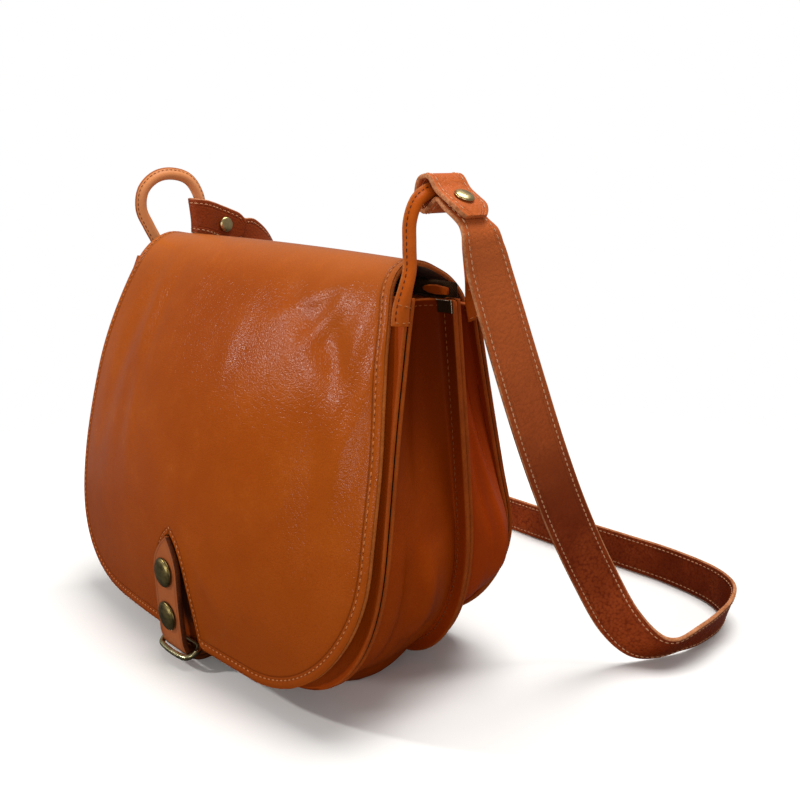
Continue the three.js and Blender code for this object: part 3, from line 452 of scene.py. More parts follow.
def sweep(name, centres, wide, deep, sections, finishes, kinds=None, edge=None, ring=False):
    """Solid through stations: a centre, two directions and a ring of section points at each or for all."""
    count, size = len(centres), sections.shape[-2]
    wide, deep = (np.broadcast_to(direction, centres.shape) for direction in (wide, deep))
    sections = np.broadcast_to(sections, (count, size, 2))
    points = (
        centres[:, None] + sections[..., :1] * wide[:, None] + sections[..., 1:2] * deep[:, None]
    ).reshape(-1, 3)
    index = np.arange(count * size).reshape(count, size)
    index = np.concatenate([index, index[:, :1]], axis=1)
    if ring:
        index = np.concatenate([index, index[:1]])
    faces = quads_between(index)
    p = points[faces]
    volume = np.einsum("ij,ij->", p[:, 0], np.cross(p[:, 1], p[:, 2]) + np.cross(p[:, 2], p[:, 3]))
    faces = [list(face) for face in (faces[:, ::-1] if volume < 0 else faces)]
    which = list(np.tile(np.zeros(size) if kinds is None else kinds, len(index) - 1).astype(int))
    if not ring:
        caps = [list(range(size))[::-1], list(range((count - 1) * size, count * size))]
        faces += [cap[::-1] for cap in caps] if volume < 0 else caps
        which += [which[0], which[0]]
    values = np.zeros(len(points)) if edge is None else np.asarray(edge).reshape(-1)
    return make_object(name, points, faces, finishes, which, edge=values)


def lathe(name, profile, axis, centre, finish, sides=56):
    """Solid turned round an axis: profile rows are radius and height."""
    profile = np.asarray(profile, float)
    axis = unit(np.asarray(axis, float))
    across = unit(np.cross(axis, [0.31, 0.2, 0.93]))
    other = np.cross(axis, across)
    turn = np.linspace(0, 2 * math.pi, sides, endpoint=False)
    spokes = np.cos(turn)[:, None] * across + np.sin(turn)[:, None] * other
    points = [centre + axis * profile[0][1]]
    for radius, height in profile[1:-1]:
        points += list(centre + axis * height + spokes * radius)
    points.append(centre + axis * profile[-1][1])
    bands = len(profile) - 2
    spot = lambda band, k: 1 + band * sides + k % sides
    faces = [[0, spot(0, k), spot(0, k + 1)] for k in range(sides)]
    for band in range(bands - 1):
        for k in range(sides):
            faces.append([spot(band, k), spot(band + 1, k), spot(band + 1, k + 1), spot(band, k + 1)])
    faces += [[len(points) - 1, spot(bands - 1, k + 1), spot(bands - 1, k)] for k in range(sides)]
    radius = np.concatenate([[0], np.repeat(profile[1:-1, 0], sides), [0]])
    return make_object(name, points, faces, [finish], rim=radius)


# Finishes

def srgb(red, green, blue):
    channels = np.array([red, green, blue]) / 255
    linear = np.where(channels <= 0.04045, channels / 12.92, ((channels + 0.055) / 1.055) ** 2.4)
    return (*linear.tolist(), 1.0)


class Wire:
    """A node's value that takes part in arithmetic."""

    def __init__(self, nodes, socket):
        self.nodes = nodes
        self.socket = socket

    def __neg__(self):
        return self * -1.0

    def beside(self, name):
        """Another value of the same node."""
        return Wire(self.nodes, self.socket.node.outputs[name])


def give_operator(name, operation):
    """Gives wires an operator, with its reflected form."""
    setattr(Wire, f"__{name}__", lambda self, other: self.nodes.maths(operation, self, other))
    setattr(Wire, f"__r{name}__", lambda self, other: self.nodes.maths(operation, other, self))


for operator, operation_name in (
    ("add", "ADD"), ("sub", "SUBTRACT"), ("mul", "MULTIPLY"), ("truediv", "DIVIDE"), ("pow", "POWER"),
):
    give_operator(operator, operation_name)


def label(key):
    """Shader socket's name from a plain key."""
    return key.replace("_", " ").title().replace("Ior", "IOR")


class Nodes:
    """One node tree, built from wires."""

    def __init__(self, tree):
        self.tree = tree

    def put(self, socket, value):
        if isinstance(value, Wire):
            self.tree.links.new(value.socket, socket)
        else:
            socket.default_value = value

    def node(self, kind, settings=None, sockets=None, out=0):
        node = self.tree.nodes.new(kind)
        for key, value in (settings or {}).items():
            setattr(node, key, value)
        for key, value in (sockets or {}).items():
            self.put(node.inputs[key], value)
        return Wire(self, node.outputs[out]) if node.outputs else None

    def maths(self, operation, *values):
        return self.node("ShaderNodeMath", {"operation": operation}, dict(enumerate(values)))


class Finish(Nodes):
    """One procedural material."""

    def __init__(self, name, **constants):
        self.material = bpy.data.materials.new(name)
        self.material.use_nodes = True
        super().__init__(self.material.node_tree)
        self.shader = self.tree.nodes["Principled BSDF"]
        self.place = self.node("ShaderNodeTexCoord", out="Object")
        self.shade(**constants)

    def bell(self, value, centre, width):
        """1 at the centre, fading over the width."""
        return self.maths("EXPONENT", -(((value - centre) / width) ** 2.0))

    def step(self, value, low, high):
        """0 below low, 1 above high, smooth between."""
        return self.node(
            "ShaderNodeMapRange", {"interpolation_type": "SMOOTHSTEP"},
            {"Value": value, "From Min": low, "From Max": high},
        )

    def noise(self, scale, detail=2.0, roughness=0.5, vector=None):
        return self.node(
            "ShaderNodeTexNoise", None,
            {"Vector": vector or self.place, "Scale": scale, "Detail": detail, "Roughness": roughness},
        )

    def cells(self, scale, feature="F1"):
        sockets = {"Vector": self.place, "Scale": scale}
        return self.node("ShaderNodeTexVoronoi", {"feature": feature}, sockets, "Distance")

    def waves(self, scale, distortion, detail):
        return self.node(
            "ShaderNodeTexWave", {"bands_direction": "DIAGONAL"},
            {"Vector": self.place, "Scale": scale, "Distortion": distortion, "Detail": detail},
        )

    def stretch(self, x, y, z):
        return self.node("ShaderNodeVectorMath", {"operation": "MULTIPLY"}, {0: self.place, 1: (x, y, z)})

    def attribute(self, name):
        return self.node("ShaderNodeAttribute", {"attribute_name": name}, None, "Fac")

    def mix(self, share, first, second):
        return self.node("ShaderNodeMix", {"data_type": "RGBA"}, {0: share, 6: first, 7: second}, 2)

    def relief(self, height_mm):
        """Surface normal of a height in millimetres."""
        return self.node("ShaderNodeBump", None, {"Strength": 1.0, "Distance": MM, "Height": height_mm})

    def shade(self, **sockets):
        for key, value in sockets.items():
            self.put(self.shader.inputs[label(key)], value)
        return self.material


GLOSS = 0.09


def leather(
    name, base, deep, pale, rough=0.33, grain=0.05, sewn=0.0, groove=0.5, burnish=0.25,
    pebbles=1250.0, speckle=0.22, gloss=GLOSS, painted_shade=0.0, painted_light=(),
):
    """Smooth cow leather: fine pebble grain, cloudy tone, a creased line where sewn, darkened as burnish and
    as painted shade in the groove, and rubbed edges.

    A sheet can be painted darker away from its edge: painted shade where it lies under other parts. The tone
    can change between two places on an axis: painted light and shade."""
    f = Finish(name, ior=1.45, specular_ior_level=gloss)
    cloud = f.noise(8.0, 3.0, 0.55)
    blotch = f.noise(48.0, 4.0, 0.6)
    fibre = f.noise(330.0, 3.0, 0.6)
    pebble = f.cells(pebbles)
    crease = f.cells(420.0, "DISTANCE_TO_EDGE")
    tone = f.step(cloud * 0.65 + blotch * 0.35, 0.3, 0.7)
    colour = f.mix(tone, deep, base)
    colour = f.mix(f.step(blotch * 0.5 + fibre * 0.5, 0.52, 0.8) * 0.35, colour, pale)
    colour = f.mix(f.step(pebble, 0.35, 0.95) * speckle, colour, deep)
    height = pebble * -grain + fibre * (grain * 1.5) + f.step(crease, 0.0, 0.1) * (grain * 0.4) + blotch * 0.2
    edge = f.attribute("edge")
    # Dark stitch line and crease: burnished leather, and painted shade in the groove
    if sewn:
        line = f.bell(edge, sewn, 0.5)
        fold = f.bell(edge, sewn + BORDER["crease_in"], 0.34)
        colour = f.mix(fold * groove + line * (groove * 0.4), colour, srgb(60, 20, 4))
        height = height - line * 0.2 - fold * 0.2
    colour = f.mix((1.0 - f.step(edge, 0.0, 0.9)) * burnish, colour, pale)
    # Painted shade: darker away from the sheet's edge, where it lies under the flap
    if painted_shade:
        colour = f.mix(f.step(edge, 5.0, 15.0) * painted_shade, colour, srgb(30, 12, 5))
    # Painted light and shade: the tone changes between two places on an axis
    for axis, start, end, shade, share in painted_light:
        level = f.node("ShaderNodeSeparateXYZ", None, {0: f.place}, axis)
        colour = f.mix(f.step(level, start * MM, end * MM) * share, colour, shade)
    polish = rough + (fibre - 0.5) * 0.16 + (blotch - 0.5) * 0.14
    return f.shade(base_color=colour, roughness=polish, normal=f.relief(height))


def two_toned(f, base, deep, fine, cloud, share, span, rough, relief):
    """Two tones that change with a fine pattern and a cloud, and relief from the fine one."""
    colour = f.mix(f.step(fine * share + cloud * (1 - share), *span), deep, base)
    return f.shade(base_color=colour, roughness=rough, normal=f.relief(fine * relief))


def raw_edge(name, base, deep):
    """Cut edge of leather: a fibrous core between two darker skins."""
    f = Finish(name, ior=1.45, specular_ior_level=GLOSS)
    fibre, patch = f.noise(900.0, 3.0, 0.7), f.noise(120.0, 2.0)
    return two_toned(f, base, deep, fibre, patch, 0.6, (0.36, 0.66), 0.55 + (fibre - 0.5) * 0.3, 0.12)


def flesh_side(name, base, deep):
    """Rough back of the leather."""
    f = Finish(name, ior=1.4, specular_ior_level=0.1)
    nap, patch = f.noise(1400.0, 3.0, 0.7), f.noise(30.0, 3.0)
    return two_toned(f, base, deep, nap, patch, 0.4, (0.35, 0.68), 0.86 + (nap - 0.5) * 0.1, 0.14)


def thread(name, base, deep):
    """Twisted waxed thread."""
    f = Finish(name, ior=1.5, specular_ior_level=0.1)
    twist, tone = f.waves(900.0, 1.5, 1.0), f.noise(400.0, 1.0)
    return two_toned(f, base, deep, twist, tone, 0.6, (0.3, 0.7), 0.55 + (tone - 0.5) * 0.2, 0.06)


def woven_tape(name, base, deep):
    """Twill tape of a zip."""
    f = Finish(name, ior=1.45, specular_ior_level=0.05)
    ribs, dust = f.waves(520.0, 0.4, 0.0), f.noise(180.0, 3.0)
    return two_toned(f, base, deep, ribs, dust, 0.6, (0.25, 0.75), 0.82 + (dust - 0.5) * 0.1, 0.18)


def brass(name, base, deep, rough, rim_radius=0.0):
    """Aged brass: rubbed bright where it stands up, darker in the turned rim."""
    f = Finish(name, metallic=1.0)
    patina = f.noise(160.0, 4.0, 0.6)
    scratch = f.noise(1.0, 2.0, 0.6, f.stretch(240.0, 1500.0, 900.0))
    share = f.step(patina * 0.7 + scratch * 0.3, 0.36, 0.66)
    colour = f.mix(share, deep, base)
    height = scratch * 0.015 + patina * 0.025
    if rim_radius:
        rim = f.step(f.attribute("rim"), rim_radius * 0.86, rim_radius * 0.97)
        colour = f.mix(rim * 0.55, colour, deep)
    gloss = rough + (patina - 0.5) * 0.2 + (scratch - 0.5) * 0.08
    return f.shade(base_color=colour, roughness=gloss, normal=f.relief(height))


# Painted shade darker towards the hem; painted sheen paler over the ridge, toned back down behind it
FLAP_PAINTED_LIGHT = [
    ("Z", 130, 10, srgb(112, 42, 6), 0.5), ("Y", -34, -4, srgb(196, 122, 70), 0.32),
    ("Y", 6, 24, srgb(156, 68, 10), 0.7),
]
FLAP_LEATHER = leather(
    "flap_leather_tan", srgb(162, 76, 15), srgb(144, 62, 9), srgb(176, 90, 28), rough=0.22, grain=0.07,
    sewn=SEWING["flap"]["inset"], groove=0.55, burnish=0.5, speckle=0.45, gloss=0.065, painted_light=FLAP_PAINTED_LIGHT,
)
BODY_TONES = srgb(156, 62, 6), srgb(138, 50, 4), srgb(168, 76, 16)
# Painted shade on the gussets: darker towards the top, lifted a little on the rear gusset
BODY_PAINTED_SHADE = [("Z", 70, 180, srgb(72, 9, 2), 0.7), ("Y", 10, 24, srgb(186, 62, 18), 0.3)]
BODY = dict(rough=0.34, grain=0.07, gloss=0.035, speckle=0.4, painted_light=BODY_PAINTED_SHADE)
BODY_LEATHER = leather("body_leather_tan", *BODY_TONES, **BODY)
BACK = dict(BODY, painted_light=(), sewn=SEWING["flap"]["inset"], groove=0.4)
SEWN_LEATHER = leather("body_leather_sewn", *BODY_TONES, **BACK)
# Front panel and divider are painted darker away from their edges: painted shade under the flap and between
# the gussets
INNER_LEATHER = leather("body_leather_shaded", *BODY_TONES, rough=0.5, grain=0.045, gloss=0.04, painted_shade=0.75)
TAB_LEATHER = leather(
    "tab_leather", srgb(158, 86, 46), srgb(142, 72, 34), srgb(172, 104, 64),
    rough=0.36, grain=0.03, sewn=1.2, groove=0.3, burnish=0.0,
)
LOOP_LEATHER = leather(
    "loop_leather_tan", srgb(198, 94, 28), srgb(174, 76, 16), srgb(212, 126, 64),
    rough=0.3, grain=0.04, gloss=0.05,
)
# Paler copy of the loop leather for the left loop: painted light
LIT_LOOP_LEATHER = leather(
    "loop_leather_lit", srgb(226, 150, 98), srgb(208, 126, 70), srgb(236, 182, 140), rough=0.34, grain=0.04,
)
LOOP_FINISH = {"loop_right": LOOP_LEATHER, "loop_left": LIT_LOOP_LEATHER}
# Strap: painted light paler towards the top, and painted shade darker on the left fold
STRAP_LEATHER = leather(
    "strap_leather_brown", srgb(172, 74, 30), srgb(112, 36, 10), srgb(192, 98, 50), rough=0.3, grain=0.16,
    sewn=SEWING["strap"]["inset"], groove=0.12, burnish=0.1, pebbles=700.0, speckle=0.8, gloss=0.07,
    painted_light=[("Z", 50, 220, srgb(240, 128, 66), 0.5), ("X", -60, -100, srgb(112, 34, 10), 0.75)],
)
RAW_EDGE = raw_edge("cut_edge_tan", srgb(180, 96, 40), srgb(152, 76, 26))
LIP_EDGE = raw_edge("cut_edge_brown", srgb(164, 74, 16), srgb(146, 62, 12))
STRAP_EDGE = raw_edge("strap_cut_edge", srgb(206, 140, 96), srgb(160, 92, 52))
DARK_EDGE = raw_edge("tab_cut_edge", srgb(92, 42, 14), srgb(60, 24, 8))
FLESH = flesh_side("flesh_side_brown", srgb(180, 140, 118), srgb(130, 96, 80))
# Dark back of the body pieces: painted shade in the gaps between them
SHADED_LINING = flesh_side("flesh_side_shaded", srgb(58, 32, 18), srgb(36, 18, 10))
TAN_THREAD = thread("tan_thread", srgb(206, 130, 78), srgb(164, 92, 46))
BROWN_THREAD = thread("brown_thread", srgb(160, 84, 42), srgb(104, 46, 18))
PEACH_THREAD = thread("peach_thread", srgb(232, 176, 134), srgb(184, 120, 80))
# Dark thread for stitch holes: painted shade in the holes
HOLE_SHADE_THREAD = thread("hole_shade_thread", srgb(112, 50, 18), srgb(70, 28, 8))
CREAM_THREAD = thread("cream_thread", srgb(232, 216, 190), srgb(190, 170, 138))
# The right loop's dark thread is painted shade in its stitch holes
LOOP_THREAD = {"loop_right": HOLE_SHADE_THREAD, "loop_left": BROWN_THREAD}
STUD_BRASS = brass("stud_brass_olive", srgb(146, 128, 80), srgb(88, 74, 42), 0.36, STUD["cap_radius"])
BUCKLE_BRASS = brass("buckle_brass_olive", srgb(206, 196, 152), srgb(170, 158, 112), 0.26)
RIVET_BRASS = brass("rivet_brass_pale", srgb(216, 192, 142), srgb(186, 160, 108), 0.3, RIVET["cap_radius"])
ZIP_TAPE = woven_tape("zip_tape_olive", srgb(58, 38, 20), srgb(34, 20, 10))


# Sewing: stitches set along lines by one node tree

def stitch_tree():
    tree = bpy.data.node_groups.new("stitches", "GeometryNodeTree")
    sockets = {
        "Lines": "Geometry", "Pitch": "Float", "Length": "Float", "Radius": "Float", "Seed": "Int",
        "Thread": "Material",
    }
    for name, kind in sockets.items():
        tree.interface.new_socket(name, in_out="INPUT", socket_type="NodeSocket" + kind)
    tree.interface.new_socket("Stitches", in_out="OUTPUT", socket_type="NodeSocketGeometry")
    n = Nodes(tree)
    lines = n.node("NodeGroupInput", out="Lines")
    pitch, length, radius, seed, thread_finish = (lines.beside(name) for name in list(sockets)[1:])
    line = n.node("GeometryNodeMeshToCurve", None, {"Mesh": lines})
    spots = n.node("GeometryNodeCurveToPoints", {"mode": "LENGTH"}, {"Curve": line, "Length": pitch})
    bead = n.node("GeometryNodeMeshUVSphere", None, {"Segments": 6, "Rings": 5, "Radius": 1.0})
    size = n.node("ShaderNodeCombineXYZ", None, {"X": radius, "Y": radius, "Z": length * 0.5})
    stitch = n.node("GeometryNodeTransform", None, {"Geometry": bead, "Scale": size})
    turn = n.node("FunctionNodeAlignRotationToVector", {"axis": "Z"}, {"Vector": spots.beside("Tangent")})
    uneven = n.node("FunctionNodeRandomValue", {"data_type": "FLOAT"}, {"Seed": seed, 2: 0.88, 3: 1.1}, 1)
    sewn = n.node("GeometryNodeInstanceOnPoints", None, {
        "Points": spots, "Instance": stitch, "Rotation": turn, "Scale": uneven,
    })
    for kind in ("GeometryNodeRealizeInstances", "GeometryNodeSetShadeSmooth"):
        sewn = n.node(kind, None, {"Geometry": sewn})
    done = n.node("GeometryNodeSetMaterial", None, {"Geometry": sewn, "Material": thread_finish})
    n.node("NodeGroupOutput", None, {"Stitches": done})
    return tree


STITCHES = stitch_tree()


def sew(name, lines, kind, finish, node):
    """One piece of stitches along lines of points."""
    points = np.concatenate(lines) * MM
    starts = np.cumsum([0] + [len(line) for line in lines])
    edges = [(k, k + 1) for a, b in zip(starts[:-1], starts[1:]) for k in range(a, b - 1)]
    mesh = bpy.data.meshes.new(name + "_lines")
    mesh.from_pydata(points.tolist(), edges, [])
    guide = stand(name + "_lines", mesh)
    modifier = guide.modifiers.new("stitches", "NODES")
    modifier.node_group = STITCHES
    values = {key.title(): size * MM for key, size in SEWING[kind].items()}
    values.update({"Seed": SEED, "Thread": finish})
    for item in STITCHES.interface.items_tree:
        if item.item_type == "SOCKET" and item.in_out == "INPUT" and item.name in values:
            modifier[item.identifier] = values[item.name]
    guide.update_tag()
    bpy.context.view_layer.update()
    evaluated = guide.evaluated_get(bpy.context.evaluated_depsgraph_get())
    plain = bpy.data.meshes.new_from_object(evaluated)
    plain.name = name
    guide.modifiers.clear()
    bpy.data.objects.remove(guide)
    bpy.data.meshes.remove(mesh)
    return dress(stand(name, plain), node)


# Flap

flap_column = {name: smooth(FLAP_ROWS, "row", name) for name in FLAP_ROWS if name != "row"}
LAST_ROW = len(FLAP_ROWS["row"]) - 1


def flap_half(row, power):
    o = OUTLINES["flap"]
    z = flap_column["edge_z"](row)
    rise = np.clip((o["widest_z"] - z) / (o["widest_z"] - o["low_z"]), 0, 1)
    corner = o["flat"] + (o["widest"] - o["flat"]) * np.maximum(1 - rise**power, 0) ** (1 / power)
    return np.where((row > 2) | (z >= o["widest_z"]), flap_column["half"](row), corner)


def fold_depth(folds, x, z):
    total = 0
    for k in range(len(folds["x"])):
        fold = {name: column[k] for name, column in folds.items()}
        turn = math.radians(fold["turn"])
        run = (z - fold["z"]) * math.cos(turn) + (x - fold["x"]) * math.sin(turn)
        across = (x - fold["x"]) * math.cos(turn) - (z - fold["z"]) * math.sin(turn)
        total = total + fold["deep"] * np.exp(-((run / fold["long"]) ** 2) - (across / fold["wide"]) ** 2)
    return total


def flap_point(x, row):
    crown = 1 - (x / FLAP_HALF) ** 2
    edge, middle = ([flap_column[part + axis](row) for axis in "yz"] for part in ("edge_", "mid_"))
    y, z = (a * (1 - crown) + b * crown for a, b in zip(edge, middle))
    dent = fold_depth(FLAP_FOLDS, x, z) + fold_depth(FLAP_RIPPLES, x, z)
    y = y + dent * smoothstep(-row, -7.0, -6.2)
    return np.stack([x, y, z], axis=-1)


def flap_face(x, row, lift):
    """Points on the flap's outside."""
    small = 0.01
    wide = flap_point(x + small, row) - flap_point(x - small, row)
    up = flap_point(x, np.minimum(row + small, LAST_ROW)) - flap_point(x, np.maximum(row - small, 0))
    return flap_point(x, row) + unit(np.cross(wide, up)) * lift


fine_rows = np.linspace(0, LAST_ROW, 2601)
fine_run = lengths(np.stack([flap_column["edge_y"](fine_rows), flap_column["edge_z"](fine_rows)], axis=1))
run_of_row = lambda row: np.interp(row, fine_rows, fine_run)
row_of_run = lambda run: np.interp(run, fine_run, fine_rows)


def notch_line():
    """Right side of the notch, from the hem to its point: x and z."""
    half, low = NOTCH["half"], OUTLINES["flap"]["low_z"]
    foot, waist, point = (half + NOTCH["flare"], low), (half, NOTCH["flare_z"]), (0, NOTCH["apex_z"])
    return np.concatenate([
        bend(foot, (half, low), waist, 16), bend(waist, (half, NOTCH["bulge_z"]), point, 50)[1:],
    ])


def inset_path(border, inset):
    """Flat line at a distance on the left of a border, without the loops that a tight corner makes."""
    border = along(border[np.concatenate([[True], np.diff(lengths(border)) > 1e-6])], np.linspace(0, 1, 500))
    side = np.gradient(border, axis=0)
    path = border + unit(np.stack([-side[:, 1], side[:, 0]], axis=1)) * inset
    return path[distance_to(border, path) > inset * 0.97]


def make_flap():
    o, mesh = OUTLINES["flap"], FLAP_MESH
    angle = np.linspace(0, math.pi / 2, mesh["corner_rows"])
    corner_z = o["widest_z"] - (o["widest_z"] - o["low_z"]) * np.cos(angle)
    corner_z[np.argmin(abs(corner_z - NOTCH["apex_z"]))] = NOTCH["apex_z"]
    low = np.interp(corner_z, flap_column["edge_z"](fine_rows[:500]), fine_rows[:500])
    upper = np.arange(run_of_row(low[-1]) + mesh["step"], fine_run[-1], mesh["step"])
    row = np.concatenate([low, row_of_run(upper), [LAST_ROW]])
    notch = notch_line()
    z = flap_column["edge_z"](row)
    inner = np.where((row < 2) & (z < NOTCH["apex_z"]), np.interp(z, notch[:, 1], notch[:, 0]), 0)
    t = np.linspace(0, 1, mesh["columns"])
    share = t - mesh["crowding"] * np.sin(2 * math.pi * t) / (2 * math.pi)
    rows_ = np.repeat(row[:, None], len(t), axis=1)
    run = run_of_row(rows_).reshape(-1)
    hem = np.array([[NOTCH["half"] + NOTCH["flare"], 0], [o["flat"], 0]])
    gap = np.stack([notch[:, 0], notch[:, 1] - o["low_z"]], axis=1)
    sewn, narrow = SEWING["flap"]["inset"], SEWING["notch"]["inset"]
    peak = [[0.0, gap[-1, 1] + narrow * 1.25]]
    first = np.arange(rows_.size).reshape(rows_.shape)
    points, quads, edges, seams = [], [], [], {kind: [] for kind in (*HOLES, *HOLES.values())}
    for hand, corner in ((1, o["round"]), (-1, o["left_round"])):
        half = flap_half(row, corner)
        x = inner[:, None] + (half - inner)[:, None] * share
        index = first + len(points) * first.size
        index[inner == 0, 0] = first[inner == 0, 0]
        quads.append(quads_between(index)[:, ::hand])
        points.append(flap_point(hand * x, rows_).reshape(-1, 3))
        outline = np.stack([half, run_of_row(row)], axis=1)
        spots = np.stack([x.reshape(-1), run], axis=1)
        to_notch = distance_to(gap, spots) * (sewn / narrow)
        edges.append(np.min([distance_to(outline, spots), distance_to(hem, spots), to_notch], axis=0))
        side = inset_path(np.concatenate([hem, outline]), sewn)
        side = side[(distance_to(gap, side) > sewn) & (side[:, 1] < fine_run[-1] - 2)]
        low_path = np.concatenate([peak, inset_path(gap[::-1], narrow), side[:1]])
        for kind, path in (("flap", side), ("notch", low_path)):
            path = along(path, np.linspace(0, 1, 500))
            across, up = hand * path[:, 0], row_of_run(path[:, 1])
            seams[kind].append(flap_face(across, up, FLAP_WALL / 2 + THREAD_LIFT))
            seams[HOLES[kind]].append(flap_face(across, up, FLAP_WALL / 2 - HOLE_DEPTH))
    used, packed = np.unique(np.concatenate(quads), return_inverse=True)
    edge = np.concatenate(edges)[used]
    raised = BORDER["high"] * np.exp(-(((edge - BORDER["middle"]) / BORDER["wide"]) ** 2))
    inside = (edge - sewn - BORDER["crease_in"]) / BORDER["crease_wide"]
    raised = raised - BORDER["crease"] * np.exp(-(inside**2))
    piece = leather_sheet(
        "flap_panel", np.concatenate(points)[used], packed.reshape(-1, 4), FLAP_WALL,
        [FLAP_LEATHER, FLESH, RAW_EDGE], edge, raised,
    )
    dress(piece, "flap")
    for kind, lines in seams.items():
        # Sunk hole lines get the dark thread: painted shade in the stitch holes
        finish = TAN_THREAD if kind in HOLES else HOLE_SHADE_THREAD
        sew(kind + "_stitches", lines, kind, finish, "flap")


# Panels and gussets

def make_panel(name, outline, depth, columns, count, wall, finish, flip=False):
    side = along(side_points(outline), np.linspace(0, 1, count))
    t = np.linspace(-1, 1, columns)
    t = t + PANEL_CROWDING * np.sin(math.pi * t) / math.pi
    half = np.repeat(side[:, :1], columns, axis=1)
    x = half * t
    z = np.repeat(side[:, 1:], columns, axis=1)
    points = np.stack([x, depth(x, z, half), z], axis=-1).reshape(-1, 3)
    spots = np.stack([abs(x).reshape(-1), z.reshape(-1)], axis=1)
    border = np.concatenate([[[0, outline["low_z"]]], side, [[0, outline["high_z"]]]])
    edge = distance_to(border, spots)
    quads = weave(count, columns, flip)
    piece = leather_sheet(name, points, quads, wall, [finish, SHADED_LINING, LIP_EDGE], edge)
    dress(piece, name.rsplit("_", 1)[0])


low_flap = {name: column[:7] for name, column in FLAP_ROWS.items()}
flap_mid_by_height = smooth(low_flap, "mid_z", "mid_y")


def front_panel_depth(x, z, half):
    clear_of_flap = 5.0
    edge = seam_y["front"](z) - PANEL_OFFSET - 0.5
    crown = edge - (flap_mid_by_height(z) + clear_of_flap)
    flat_lip = np.minimum(1, abs(x) / (half - LIP))
    return edge - crown * (1 - flat_lip**2) + fold_depth(FLAP_FOLDS, x, z) * (1 - flat_lip**6)


def back_panel_depth(x, z, half):
    swell = 7.0
    low, high = OUTLINES["back"]["low_z"], OUTLINES["back"]["high_z"]
    height = (z - low) / (high - low)
    upright = np.maximum(0, np.sin(math.pi * np.minimum(1, height * 1.12)))
    return seam_y["back"](z) + PANEL_OFFSET + swell * upright * (1 - (x / half) ** 2)


def seam_edge(seam, offset, share, turned):
    """Place and outward direction on a sewn edge: share is -1 at the left top and 1 at the right top."""
    steps = np.arange(1201)
    fine = along(half_points(OUTLINES[seam]), np.linspace(0, 1, len(steps)))
    run = unit(np.gradient(fine, axis=0))
    at = abs(share) * steps[-1]
    hand = np.where(share < 0, -1, 1)
    spot, tangent = (
        np.stack([np.interp(at, steps, column) for column in line.T], axis=1) for line in (fine, run)
    )
    tangent = unit(tangent)
    out = np.stack([tangent[:, 1], -tangent[:, 0]], axis=1)
    if not turned:
        spot = spot - out * OUTLINES[seam]["lip"]
    place = np.stack([hand * spot[:, 0], seam_y[seam](spot[:, 1]) + offset, spot[:, 1]], axis=1)
    return place, np.stack([hand * out[:, 0], np.zeros(len(at)), out[:, 1]], axis=1)


def gusset_grid(first, second, side, count, walls, lips, short):
    """Points of a gusset: lip, wall and lip from the first seam to the second, all round the bag.

    Short is the share of the first lip that is left off at its edge."""
    share = np.linspace(-1, 1, count)
    swell = smooth(GUSSET_SWELL, "z", side)
    near, _ = seam_edge(*first, share, True)
    far, _ = seam_edge(*second, share, True)
    start, out_a = seam_edge(*first, share, False)
    end, out_b = seam_edge(*second, share, False)
    grid = [near + (start - near) * t for t in np.linspace(short, 1, lips + 1)[:-1]]
    for s in np.linspace(0, 1, walls + 1):
        place = start + (end - start) * s
        out = unit(out_a + (out_b - out_a) * s)
        arch = max(0.0, math.sin(math.pi * s)) ** GUSSET_ARCH
        folds = GUSSET_FOLDS[side]
        dent = sum(
            deep * np.exp(-(((place[:, 2] - z) / tall) ** 2) - ((s - across) / wide) ** 2)
            for z, across, tall, wide, deep in zip(*folds.values())
        )
        grid.append(place + out * ((swell(place[:, 2]) - dent) * arch)[:, None])
    grid += [end + (far - end) * t for t in np.linspace(0, 1, lips + 1)[1:]]
    grid = np.stack(grid, axis=1)
    for turn in (lips, lips + walls):
        for _ in range(3):
            span = slice(turn - 2, turn + 3)
            before = grid[:, turn - 3:turn + 2]
            after = grid[:, turn - 1:turn + 4]
            grid[:, span] = 0.5 * grid[:, span] + 0.25 * (before + after)
    grid[..., 2] = np.maximum(grid[..., 2], WALL / 2)
    return grid


def make_gusset(name, shape):
    grid = gusset_grid(**shape)
    points = grid.reshape(-1, 3)
    count, across = grid.shape[:2]
    quads = weave(count, across)
    steps = np.linalg.norm(np.diff(grid, axis=1), axis=2)
    run = np.concatenate([np.zeros((count, 1)), np.cumsum(steps, axis=1)], axis=1)
    round_bag = lengths(grid[:, across // 2])
    top = np.minimum(round_bag, round_bag[-1] - round_bag)[:, None]
    edge = np.minimum(np.minimum(run, run[:, -1:] - run), top + 0 * run)
    finishes = [BODY_LEATHER, SHADED_LINING, LIP_EDGE]
    piece = leather_sheet(name + "_wall", points, quads, WALL, finishes, edge.reshape(-1))
    dress(piece, name)
    return grid + surface_normals(points, quads).reshape(grid.shape) * (WALL / 2)


def line_across(face, inset, from_end):
    """Line over a grid of points, at a distance from its first or last row."""
    line = []
    for points in face.swapaxes(0, 1):
        run = lengths(points)
        where = run[-1] - inset if from_end else inset
        line.append([np.interp(where, run, points[:, k]) for k in range(3)])
    return np.array(line)


def make_zip_end(face):
    """End of the zip tape, folded over the gusset's right top edge and sewn down."""
    e = ZIP_END
    insets = np.linspace(0.0, e["reach"], 9)
    grid = np.stack([line_across(face, inset, True)[e["columns"]] for inset in insets])
    points, quads = grid.reshape(-1, 3), weave(grid.shape[0], grid.shape[1], True)
    out = surface_normals(points, quads)
    out = out * np.sign(out @ [1.0, -1.0, 0.0])[:, None]
    edge = np.full(len(points), FAR_FROM_EDGE)
    piece = leather_sheet("zip_end_fold", points + out * e["lift"], quads, e["wall"], [ZIP_TAPE] * 3, edge)
    dress(piece, "zip_tape")
    raised = (points + out * e["thread_lift"]).reshape(grid.shape)
    border = [raised[0, 1:-1], raised[:-1, -1]]
    sew("zip_end_stitches", border, "zip", CREAM_THREAD, "zip_tape")


